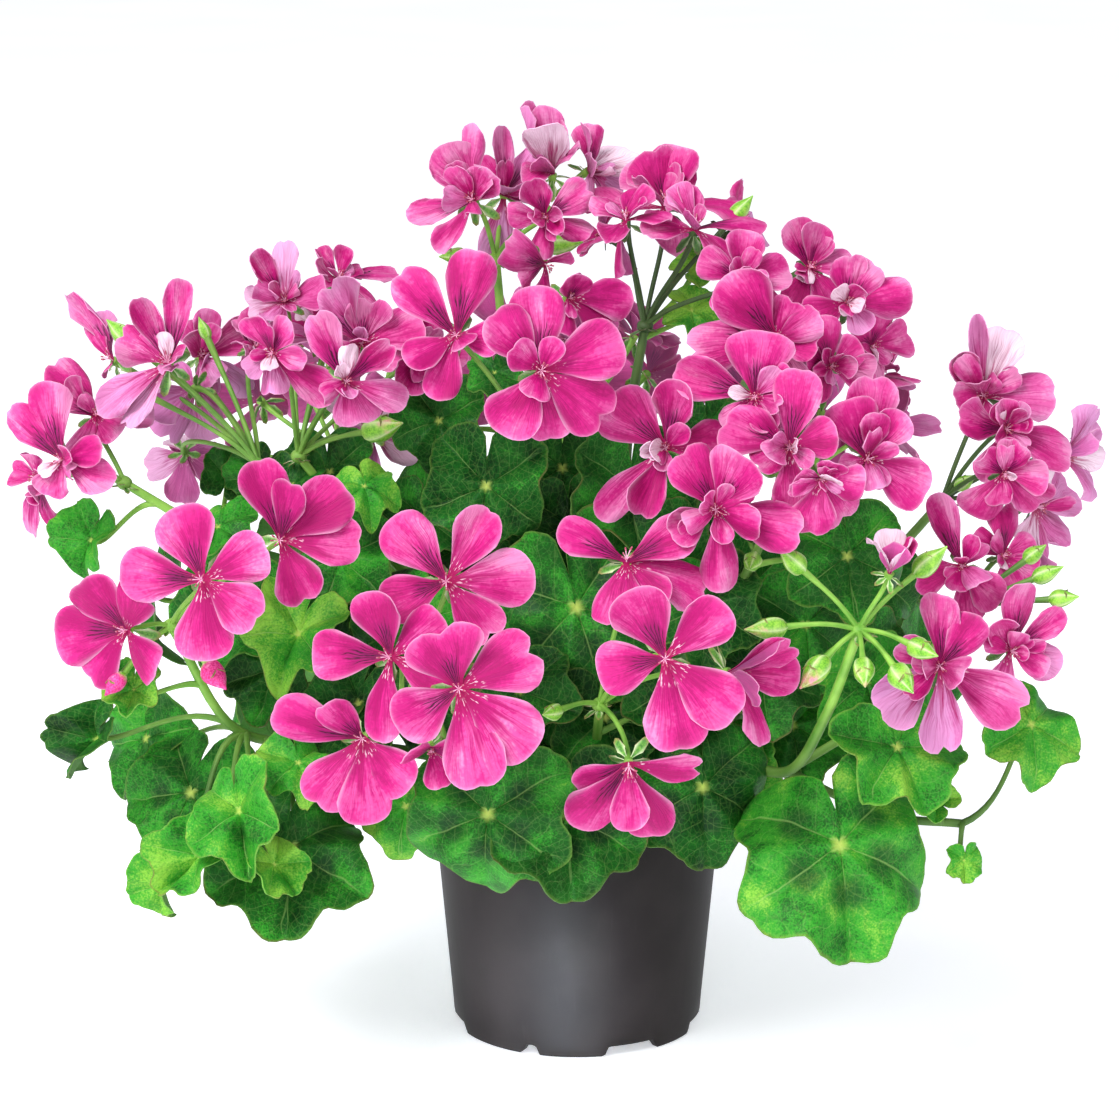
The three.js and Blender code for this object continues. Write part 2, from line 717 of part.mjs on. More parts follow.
function budTube(hub, [x, y, z, length], extra) {
  const end = new THREE.Vector3(x, y, z);
  const leaving = end.clone().sub(hub).normalize().add(new THREE.Vector3(0, 0, 0.3)).normalize();
  const outward = end.clone().sub(hub).normalize();
  const curve = stalkCurve(hub, leaving, end, outward);
  const start = 1 - length / curve.getLength();
  const at = (share) => start + (1 - start) * share;
  const fat = 0.2 * length;
  const stations = [[0, PEDICEL_RADIUS], [at(0), PEDICEL_RADIUS + 0.2], [at(0.35), fat], [at(0.7), 0.85 * fat], [1, 0.5]];
  return tube(curve, stations, 3, extra);
}

function shootTubes(name, extra) {
  const shoot = SHOOTS[name];
  return join([...stemTubes(shoot, extra), ...shoot.leaves.map((spec) => petioleTube(shoot, spec, extra))]);
}

// An umbel: a small knob, and the pedicels of its florets and buds rooted in it.
function umbelTubes(umbel, extra) {
  const hub = vec(umbel.hub);
  const knob = new THREE.OctahedronGeometry(KNOB_RADIUS + extra, 0);
  return join([
    solidOf(knob.translate(...umbel.hub)),
    ...umbel.florets.map((spec) => pedicelTube(hub, spec, extra)),
    ...umbel.buds.map((spec) => budTube(hub, spec, extra)),
  ]);
}

// Cuts a solid clear of a neighbour, only where the two meet.
function clearOf(solid, neighbour) {
  return solid.intersect(neighbour).isEmpty() ? solid : solid.subtract(neighbour);
}

// The largest body of a solid, without the scraps that a cut may leave.
function mainBody(solid) {
  return solid.decompose().sort((one, other) => other.volume() - one.volume())[0];
}

const plant = new THREE.Group();
const pieces = [
  ...Object.entries(UMBELS).map(([name, umbel]) => ({
    name: `${name}_umbel`,
    look: pink,
    tubes: umbelTubes(umbel, 0),
    tubeRoom: umbelTubes(umbel, GAP),
    blades: umbel.florets.map((spec) => floret(spec)),
    bladeRoom: umbel.florets.map((spec) => floret(spec, GAP)),
  })),
  ...Object.entries(SHOOTS).map(([name, shoot]) => ({
    name: `${name}_shoot`,
    look: green,
    tubes: shootTubes(name, 0),
    tubeRoom: shootTubes(name, GAP),
    blades: shoot.leaves.map((spec) => leaf(spec)),
    bladeRoom: shoot.leaves.map((spec) => leaf(spec, GAP)),
  })),
];

plant.add(meshOf('pot', potSolid(), { color: 0x26272b, roughness: 0.45 }));
plant.add(meshOf(
  'soil',
  soilSolid().subtract(join(pieces.map((piece) => piece.tubeRoom))),
  { color: 0x2c211a, roughness: 0.95 },
));

// Blades give way to the stalks of other pieces, and to the blades of the pieces before them.
pieces.forEach((piece, k) => {
  const rooms = pieces.filter((other) => other !== piece).map((other) => other.tubeRoom);
  for (const before of pieces.slice(0, k)) {
    rooms.push(join(before.bladeRoom));
  }
  let solid = piece.tubes;
  for (const blade of piece.blades) {
    const cut = rooms.reduce(clearOf, blade);
    solid = solid.add(cut);
  }
  plant.add(meshOf(piece.name, mainBody(solid).simplify(0.05), piece.look));
});

export default plant;
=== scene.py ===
import math
from functools import partialmethod

import bpy
import numpy as np
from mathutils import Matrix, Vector, noise


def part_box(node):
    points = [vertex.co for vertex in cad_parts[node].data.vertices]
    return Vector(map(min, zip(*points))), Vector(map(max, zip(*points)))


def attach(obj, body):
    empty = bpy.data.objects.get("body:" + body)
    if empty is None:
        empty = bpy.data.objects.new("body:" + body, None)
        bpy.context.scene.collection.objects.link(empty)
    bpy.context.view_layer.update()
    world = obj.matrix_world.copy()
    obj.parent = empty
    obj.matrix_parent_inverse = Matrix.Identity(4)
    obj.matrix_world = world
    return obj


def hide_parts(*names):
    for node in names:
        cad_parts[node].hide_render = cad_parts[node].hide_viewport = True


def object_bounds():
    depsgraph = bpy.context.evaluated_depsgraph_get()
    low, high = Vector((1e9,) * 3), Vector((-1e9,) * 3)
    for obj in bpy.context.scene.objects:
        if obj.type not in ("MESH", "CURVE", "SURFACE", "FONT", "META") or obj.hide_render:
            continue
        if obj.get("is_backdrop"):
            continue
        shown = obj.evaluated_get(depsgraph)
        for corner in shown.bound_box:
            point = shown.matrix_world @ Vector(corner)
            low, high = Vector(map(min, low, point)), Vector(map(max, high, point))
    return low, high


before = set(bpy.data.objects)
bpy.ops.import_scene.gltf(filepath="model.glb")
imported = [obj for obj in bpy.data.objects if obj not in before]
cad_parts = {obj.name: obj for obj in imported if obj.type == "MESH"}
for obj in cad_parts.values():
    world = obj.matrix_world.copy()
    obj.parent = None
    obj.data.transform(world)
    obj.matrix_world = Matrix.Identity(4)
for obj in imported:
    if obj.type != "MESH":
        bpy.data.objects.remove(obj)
cad_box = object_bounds()


# The camera. It stands in front of the plant, a little above it, and looks slightly down.
CAMERA_PLACE = (-0.007, -1.390, 0.506)
CAMERA_TILT = math.radians(77.25)
LENS_MM = 114.75
SENSOR_MM = 36.0

camera_data = bpy.data.cameras.new("camera")
camera_data.lens = LENS_MM
camera_data.sensor_width = SENSOR_MM
camera = bpy.data.objects.new("camera", camera_data)
camera.location = CAMERA_PLACE
camera.rotation_euler = (CAMERA_TILT, 0, 0)
bpy.context.scene.collection.objects.link(camera)
bpy.context.scene.camera = camera


# The studio. A pale floor under a white sky, one large soft lamp up on the left, a weaker one on the
# right, one in front, and a small narrow one near the floor that puts the soft gleam on the pot.
FLOOR_RADIUS = 14.0
FLOOR_LEVEL = -0.0002
FLOOR_CORNERS = 96
FLOOR_GLOW = 0.48
SKY_GLOW = 0.58
WHITE_LIGHT = (1.0, 1.0, 1.0)
PLANT_MIDDLE = (0, 0, 0.2)
# Each lamp's place, width, watts, beam in degrees, colour and the place that it points at.
LAMPS = {
    "key": ((-1.1, -1.5, 1.9), 1.3, 66, 180, WHITE_LIGHT, PLANT_MIDDLE),
    "fill": ((1.7, -1.3, 1.2), 1.6, 10, 180, WHITE_LIGHT, PLANT_MIDDLE),
    "front": ((-0.25, -2.3, 0.75), 1.0, 12, 180, WHITE_LIGHT, PLANT_MIDDLE),
    "low": ((-0.16, -0.80, 0.04), 0.06, 0.13, 9, (0.72, 0.86, 1.0), (-0.01, 0, 0.026)),
}


class Field:
    """One output of a node. Arithmetic on fields adds the nodes that work it out."""

    def __init__(self, tree, socket):
        self.tree = tree
        self.socket = socket

    def output(self, name):
        return Field(self.tree, self.socket.node.outputs[name])

    def math(self, operation, *others):
        return add(self.tree, "ShaderNodeMath", (self, *others), operation=operation)

    __add__ = __radd__ = partialmethod(math, "ADD")
    __sub__ = partialmethod(math, "SUBTRACT")
    __mul__ = __rmul__ = partialmethod(math, "MULTIPLY")
    __truediv__ = partialmethod(math, "DIVIDE")
    __pow__ = partialmethod(math, "POWER")
    __abs__ = partialmethod(math, "ABSOLUTE")
    at_least = partialmethod(math, "MAXIMUM")
    at_most = partialmethod(math, "MINIMUM")
    sine = partialmethod(math, "SINE")
    cosine = partialmethod(math, "COSINE")
    fraction = partialmethod(math, "FRACT")

    def __rsub__(self, other):
        return (self * -1) + other

    def smooth(self, low, high):
        """0 below low, 1 above high, and a soft slope between; low may be the greater."""
        inputs = (self, min(low, high), max(low, high), 0.0, 1.0)
        risen = add(self.tree, "ShaderNodeMapRange", inputs, interpolation_type="SMOOTHSTEP")
        return risen if low < high else 1 - risen

    def then(self, kind, inputs=(), **settings):
        """Passes geometry on to the first socket of a new geometry node."""
        made = add(self.tree, "GeometryNode" + kind, inputs, **settings)
        self.tree.links.new(self.socket, made.socket.node.inputs[0])
        return made


def add(tree, kind, inputs=(), **settings):
    """Adds a node, fills its sockets in order or by name, and returns its first output."""
    made = tree.nodes.new(kind)
    for name, value in settings.items():
        setattr(made, name, value)
    open_sockets = [socket for socket in made.inputs if socket.enabled]
    named = inputs.items() if isinstance(inputs, dict) else enumerate(inputs)
    for key, value in named:
        socket = open_sockets[key] if isinstance(key, int) else made.inputs[key]
        if isinstance(value, Field):
            tree.links.new(value.socket, socket)
        else:
            socket.default_value = value
    shown = [socket for socket in made.outputs if socket.enabled]
    return Field(tree, shown[0]) if shown else None


def colour(code):
    """The linear colour of a six-digit web code. A field of colours stays as it is."""
    if isinstance(code, Field):
        return code
    shares = [int(code[k:k + 2], 16) / 255 for k in (0, 2, 4)]
    return (*[s / 12.92 if s < 0.04045 else ((s + 0.055) / 1.055) ** 2.4 for s in shares], 1.0)


def painted(base, *layers):
    """Lays colours over a base, one after another. A layer is its share and its colour."""
    base = colour(base)
    for share, over in layers:
        tree = share.tree if isinstance(share, Field) else base.tree
        base = add(tree, "ShaderNodeMix", (share, base, colour(over)), data_type="RGBA")
    return base


def new_material(name):
    """An empty material, its node tree and the field of places on the object."""
    material = bpy.data.materials.new(name)
    material.use_nodes = True
    tree = material.node_tree
    tree.nodes.clear()
    return material, tree, add(tree, "ShaderNodeTexCoord").output("Object")


def grain(vector, scale=1.0, detail=2.0):
    """Even noise from 0 to 1."""
    return add(vector.tree, "ShaderNodeTexNoise", {"Vector": vector, "Scale": scale, "Detail": detail})


def bumped(height, strength, depth):
    return add(height.tree, "ShaderNodeBump", {"Strength": strength, "Distance": depth, "Height": height})


def principled(base, roughness, normal, **constants):
    """A Principled surface. The constants stay on the shader's own sockets."""
    inputs = {"Base Color": base, "Roughness": roughness, "Normal": normal}
    inputs.update({name.replace("_", " "): value for name, value in constants.items()})
    return add(base.tree, "ShaderNodeBsdfPrincipled", inputs)


def set_surface(shader):
    add(shader.tree, "ShaderNodeOutputMaterial", {"Surface": shader})


floor_material, _, place = new_material("pale_floor")
mottle = grain(place, 3.0)
set_surface(principled(
    painted("f5f6fb", (mottle.smooth(0.3, 0.7), "fbfbfe")), 0.75 + 0.1 * mottle,
    bumped(grain(place, 160.0), 0.05, 0.0005), Specular_IOR_Level=0.2,
    Emission_Color=(0.94, 0.96, 1.0, 1.0), Emission_Strength=FLOOR_GLOW,
))

floor_mesh = bpy.data.meshes.new("floor")
floor_ring = [
    (FLOOR_RADIUS * math.cos(turn), FLOOR_RADIUS * math.sin(turn), FLOOR_LEVEL)
    for turn in np.linspace(0, 2 * math.pi, FLOOR_CORNERS, endpoint=False)
]
floor_mesh.from_pydata(floor_ring, [], [range(FLOOR_CORNERS)])
floor_mesh.materials.append(floor_material)
floor = bpy.data.objects.new("floor", floor_mesh)
bpy.context.scene.collection.objects.link(floor)
floor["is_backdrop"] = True

for name, (place, width, watts, beam, tint, target) in LAMPS.items():
    light = bpy.data.lights.new(name, "AREA")
    light.shape = "DISK"
    light.size = width
    light.energy = watts
    light.spread = math.radians(beam)
    light.color = tint
    lamp = bpy.data.objects.new(name, light)
    lamp.location = place
    lamp.rotation_euler = (Vector(target) - lamp.location).to_track_quat("-Z", "Y").to_euler()
    bpy.context.scene.collection.objects.link(lamp)

sky = bpy.data.worlds.new("sky")
sky.use_nodes = True
sky.node_tree.nodes["Background"].inputs["Color"].default_value = (0.95, 0.96, 1.0, 1.0)
sky.node_tree.nodes["Background"].inputs["Strength"].default_value = SKY_GLOW
bpy.context.scene.world = sky
bpy.context.scene.view_settings.view_transform = "Standard"


# The pot. A nursery pot injection moulded in one piece from black polypropylene: a tapered wall with
# a plain rim, a foot ring with seven arched notches, and a floor with seven drainage holes.
POT_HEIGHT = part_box("pot")[1].z
FOOT_RADIUS = 0.050
FOOT_INNER_RADIUS = 0.0455
WALL_TOP_RADIUS = 0.0586
RIM_RADIUS = 0.0604
WALL = 0.0015
FLOOR_HEIGHT = 0.0045
CORNER_RADIUS = 0.0006
POT_SEGMENTS = 224
SHARP_EDGE = math.radians(38)
HOLES = 7
HOLE_RADIUS = 0.004
HOLE_RING_RADIUS = 0.036
DRILL_SIDES = 24
DRILL_LENGTH = 0.02
# Each notch's middle, in degrees round from the front, and its width.
NOTCHES = [(-77, 0.024), (-22, 0.008), (26, 0.024), (77, 0.024), (128, 0.008), (180, 0.024), (-128, 0.024)]
NOTCH_HEIGHT = 0.004
NOTCH_SLOPE = 0.0022
# The pot's section as radius and height: out along the underside, up the outside and down the inside.
POT_PROFILE = [
    (0, 0), (0.018, 0), (0.020, FLOOR_HEIGHT), (0.044, FLOOR_HEIGHT), (0.0465, 0), (FOOT_RADIUS, 0),
    (FOOT_RADIUS + 0.0004, 0.0045), (FOOT_RADIUS + 0.0010, 0.0120), (WALL_TOP_RADIUS - 0.0002, 0.0930),
    (RIM_RADIUS, 0.0955), (RIM_RADIUS, POT_HEIGHT), (RIM_RADIUS - WALL, POT_HEIGHT),
    (WALL_TOP_RADIUS - WALL, 0.094), (0.0486, 0.008), (0.046, FLOOR_HEIGHT + WALL),
    (0.019, FLOOR_HEIGHT + WALL), (0.017, WALL), (0, WALL),
]


def start_tree(name, **inputs):
    """A geometry tree with named inputs, each given as its kind of socket."""
    tree = bpy.data.node_groups.new(name, "GeometryNodeTree")
    tree.interface.new_socket("Geometry", in_out="INPUT", socket_type="NodeSocketGeometry")
    for label, kind in inputs.items():
        tree.interface.new_socket(label, in_out="INPUT", socket_type="NodeSocket" + kind)
    tree.interface.new_socket("Geometry", in_out="OUTPUT", socket_type="NodeSocketGeometry")
    group = tree.nodes.new("NodeGroupInput")
    return tree, {socket.name: Field(tree, socket) for socket in group.outputs if socket.name}


def end_tree(geometry, material):
    """Realizes what the tree grew, gives it its material and hands out the tree."""
    tree = geometry.tree
    dressed = geometry.then("RealizeInstances").then("SetMaterial", {"Material": material})
    tree.links.new(dressed.socket, tree.nodes.new("NodeGroupOutput").inputs[0])
    return tree


def grow(mesh, tree, **settings):
    """The plain mesh that a tree makes from a mesh of points and edges."""
    bed = bpy.data.objects.new("bed", mesh)
    bpy.context.scene.collection.objects.link(bed)
    modifier = bed.modifiers.new("grow", "NODES")
    modifier.node_group = tree
    for item in tree.interface.items_tree:
        if item.in_out == "INPUT" and item.name in settings:
            modifier[item.identifier] = settings[item.name]
    depsgraph = bpy.context.evaluated_depsgraph_get()
    grown = bpy.data.meshes.new_from_object(bed.evaluated_get(depsgraph), depsgraph=depsgraph)
    bed.modifiers.clear()
    bpy.data.objects.remove(bed)
    return grown


def piece_of(name, meshes, slot, *nodes):
    """Joins meshes to one piece that rides on the plant and stands for its solids."""
    parts = [bpy.data.objects.new(name, mesh) for mesh in meshes]
    for part in parts:
        bpy.context.scene.collection.objects.link(part)
    piece = parts[0]
    if len(parts) > 1:
        with bpy.context.temp_override(object=piece, active_object=piece, selected_editable_objects=parts):
            bpy.ops.object.join()
    piece.name = name
    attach(piece, "root")
    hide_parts(*nodes)


def turned_pot_tree():
    """Turns a profile round the upright axis and drills a ring of holes through the floor."""
    tree, given = start_tree(
        "turned_pot", Segments="Int", Path_radius="Float", Corner="Float", Holes="Int", Hole_radius="Float",
        Hole_ring="Float", Material="Material",
    )
    profile = given["Geometry"].then("MeshToCurve").then(
        "FilletCurve", {"Radius": given["Corner"], "Count": 3, "Limit Radius": True}, mode="POLY"
    )
    size = {"Resolution": given["Segments"], "Radius": given["Path_radius"]}
    path = add(tree, "GeometryNodeCurvePrimitiveCircle", size)
    wall = path.then("CurveToMesh", {"Profile Curve": profile}).then("MergeByDistance", {"Distance": 1e-5})
    size = {"Vertices": DRILL_SIDES, "Radius": given["Hole_radius"], "Depth": DRILL_LENGTH}
    drill = add(tree, "GeometryNodeMeshCylinder", size)
    size = {"Vertices": given["Holes"], "Radius": given["Hole_ring"]}
    drills = add(tree, "GeometryNodeMeshCircle", size).then("InstanceOnPoints", {"Instance": drill})
    drills = drills.then("RealizeInstances")
    return end_tree(wall.then("MeshBoolean", {"Mesh 2": drills}, operation="DIFFERENCE"), given["Material"])


def mould_notches(mesh):
    """Lifts the foot ring into an arch at each notch."""
    for vertex in mesh.vertices:
        radius = math.hypot(vertex.co.x, vertex.co.y)
        if radius < FOOT_INNER_RADIUS or vertex.co.z > NOTCH_HEIGHT:
            continue
        turn = math.degrees(math.atan2(vertex.co.x, -vertex.co.y))
        for angle, width in NOTCHES:
            off = abs((turn - angle + 180) % 360 - 180)
            inside = (width / 2 - math.radians(off) * FOOT_RADIUS) / NOTCH_SLOPE
            lift = min(max(inside, 0), 1)
            lift = lift * lift * (3 - 2 * lift)
            vertex.co.z += lift * (NOTCH_HEIGHT - vertex.co.z)


pot_material, tree, place = new_material("pot_plastic")
streaks = grain(add(tree, "ShaderNodeMapping", {"Vector": place, "Scale": (1.0, 1.0, 0.08)}), 420.0, 3.0)
clouds = grain(place, 38.0, 3.0)
pores = grain(place, 2600.0, 1.0)
plastic = painted(
    "140f0e", (clouds.smooth(0.35, 0.7), "1d1817"), (streaks.smooth(0.62, 0.8) * 0.25, "2c2929"),
)
pot_roughness = 0.46 + 0.08 * clouds + 0.06 * streaks
pot_bump = bumped(0.7 * pores + 0.5 * streaks, 0.16, 0.0004)
set_surface(principled(plastic, pot_roughness, pot_bump, Specular_IOR_Level=0.16))

profile_mesh = bpy.data.meshes.new("pot_profile")
profile_mesh.from_pydata(
    [(radius - FOOT_RADIUS, -height, 0) for radius, height in reversed(POT_PROFILE)],
    [(k, k + 1) for k in range(len(POT_PROFILE) - 1)], [],
)
pot_mesh = grow(
    profile_mesh, turned_pot_tree(), Segments=POT_SEGMENTS, Path_radius=FOOT_RADIUS, Corner=CORNER_RADIUS,
    Holes=HOLES, Hole_radius=HOLE_RADIUS, Hole_ring=HOLE_RING_RADIUS, Material=pot_material,
)
mould_notches(pot_mesh)
pot_mesh.shade_smooth()
pot_mesh.set_sharp_from_angle(angle=SHARP_EDGE)
piece_of("nursery_pot", [pot_mesh], "pot_plastic", "pot")


# The peat. Dark fibrous peat pressed into the pot to a finger below the rim, with loose crumbs and a
# few white grains of perlite lying on top.
PEAT_EDGE_HEIGHT = 0.094
PEAT_MOUND = 0.005
PEAT_EDGE_RADIUS = 0.0568
PEAT_FOOT_RADIUS = 0.0480
PEAT_BOTTOM = 0.0063
PEAT_ROUGHNESS = 0.0011
PEAT_CLODS_PER_M = 140
PEAT_RINGS = 26
PEAT_SPOKES = 110
CRUMBS_PER_M2 = 52000.0
LARGEST_CRUMB = 0.0017
SMALLEST_CRUMB_SHARE = 0.35


def peat_surface():
    """A rough mound, closed by a plain plug down to the pot's floor."""
    turns = [2 * math.pi * spoke / PEAT_SPOKES for spoke in range(PEAT_SPOKES)]
    spokes = [(math.cos(turn), math.sin(turn)) for turn in turns]
    points = [(0, 0, PEAT_EDGE_HEIGHT + PEAT_MOUND)]
    faces = []
    for ring in range(1, PEAT_RINGS + 1):
        share = ring / PEAT_RINGS
        for x, y in spokes:
            place = Vector((PEAT_EDGE_RADIUS * share * x, PEAT_EDGE_RADIUS * share * y, 0))
            rough = noise.fractal(place * PEAT_CLODS_PER_M, 0.9, 2.1, 4) * PEAT_ROUGHNESS
            place.z = PEAT_EDGE_HEIGHT + PEAT_MOUND * (1 - share ** 2) + rough * (1 - share ** 8)
            points.append(place)
    points += [(PEAT_FOOT_RADIUS * x, PEAT_FOOT_RADIUS * y, PEAT_BOTTOM) for x, y in spokes]
    points.append((0, 0, PEAT_BOTTOM))
    bottom = len(points) - 1
    for spoke in range(PEAT_SPOKES):
        after = (spoke + 1) % PEAT_SPOKES
        faces.append((0, 1 + spoke, 1 + after))
        for ring in range(PEAT_RINGS):
            start = 1 + ring * PEAT_SPOKES
            beyond = start + PEAT_SPOKES
            faces.append((start + spoke, beyond + spoke, beyond + after, start + after))
        last = bottom - PEAT_SPOKES
        faces.append((bottom, last + after, last + spoke))
    mesh = bpy.data.meshes.new("peat")
    mesh.from_pydata(points, [], faces)
    mesh.shade_smooth()
    return mesh


def scaled(vector, amount):
    return add(vector.tree, "ShaderNodeVectorMath", {"Vector": vector, "Scale": amount}, operation="SCALE")


def joined(*parts):
    """Puts geometries together, the last one first."""
    tree = parts[0].tree
    join = tree.nodes.new("GeometryNodeJoinGeometry")
    for part in parts:
        tree.links.new(part.socket, join.inputs[0])
    return Field(tree, join.outputs[0])


def crumb_tree():
    """Scatters lumpy crumbs over the upward faces of a mesh, and keeps the mesh beneath them."""
    tree, given = start_tree(
        "peat_crumbs", Crumbs_per_m2="Float", Largest="Float", Seed="Int", Material="Material"
    )
    up = add(tree, "ShaderNodeSeparateXYZ", (add(tree, "GeometryNodeInputNormal"),)).output("Z")
    scattered = given["Geometry"].then("DistributePointsOnFaces", {
        "Selection": up.math("GREATER_THAN", 0.3), "Density": given["Crumbs_per_m2"], "Seed": given["Seed"],
    })
    share = {"Min": SMALLEST_CRUMB_SHARE, "Max": 1.0, "Seed": given["Seed"]}
    size = given["Largest"] * add(tree, "FunctionNodeRandomValue", share, data_type="FLOAT")
    lump = add(tree, "GeometryNodeMeshIcoSphere", {"Radius": 1.0, "Subdivisions": 1})
    crumbs = scattered.then("InstanceOnPoints", {"Instance": lump, "Scale": size}).then("RealizeInstances")
    wander = grain(add(tree, "GeometryNodeInputPosition"), 700.0, 1.0).output("Color")
    shift = add(tree, "ShaderNodeVectorMath", (wander, (0.5, 0.5, 0.5)), operation="SUBTRACT")
    crumbs = crumbs.then("SetPosition", {"Offset": scaled(shift, given["Largest"] * 1.4)})
    return end_tree(joined(crumbs, given["Geometry"]), given["Material"])


peat_material, tree, place = new_material("peat")
fibre = grain(place, 900.0, 4.0)
clods = grain(place, 130.0, 3.0)
perlite = add(tree, "ShaderNodeTexVoronoi", {"Vector": place, "Scale": 210.0}).output("Color")
specks = add(tree, "ShaderNodeSeparateColor", (perlite,)).smooth(0.965, 0.975)
peat = painted(
    "1d130d", (clods.smooth(0.3, 0.7), "3c2a1e"), (fibre.smooth(0.55, 0.75) * 0.5, "5a4431"),
    (specks, "cfc8bb"),
)
set_surface(principled(peat, 0.85 + 0.1 * fibre, bumped(fibre + clods, 0.7, 0.0008)))

crumbed = grow(
    peat_surface(), crumb_tree(), Crumbs_per_m2=CRUMBS_PER_M2, Largest=LARGEST_CRUMB, Seed=7,
    Material=peat_material,
)
piece_of("peat_fill", [crumbed], "peat", "soil")


# The shoots. Each is a fleshy green stem that rises out of the peat and branches, with a shield-shaped
# leaf on every stalk. They all grow from one rootstock, so the stems stand close together in the peat.
MM = 0.001
STEM_RADIUS = 2.6
BRANCH_RADIUS = 1.7
LEAF_STALK_RADIUS = 1.0
LOWEST_LEAF_STALK = 104
STEM_STEPS = 8
STALK_SIDES = 8
SHOOT_SEED = 100

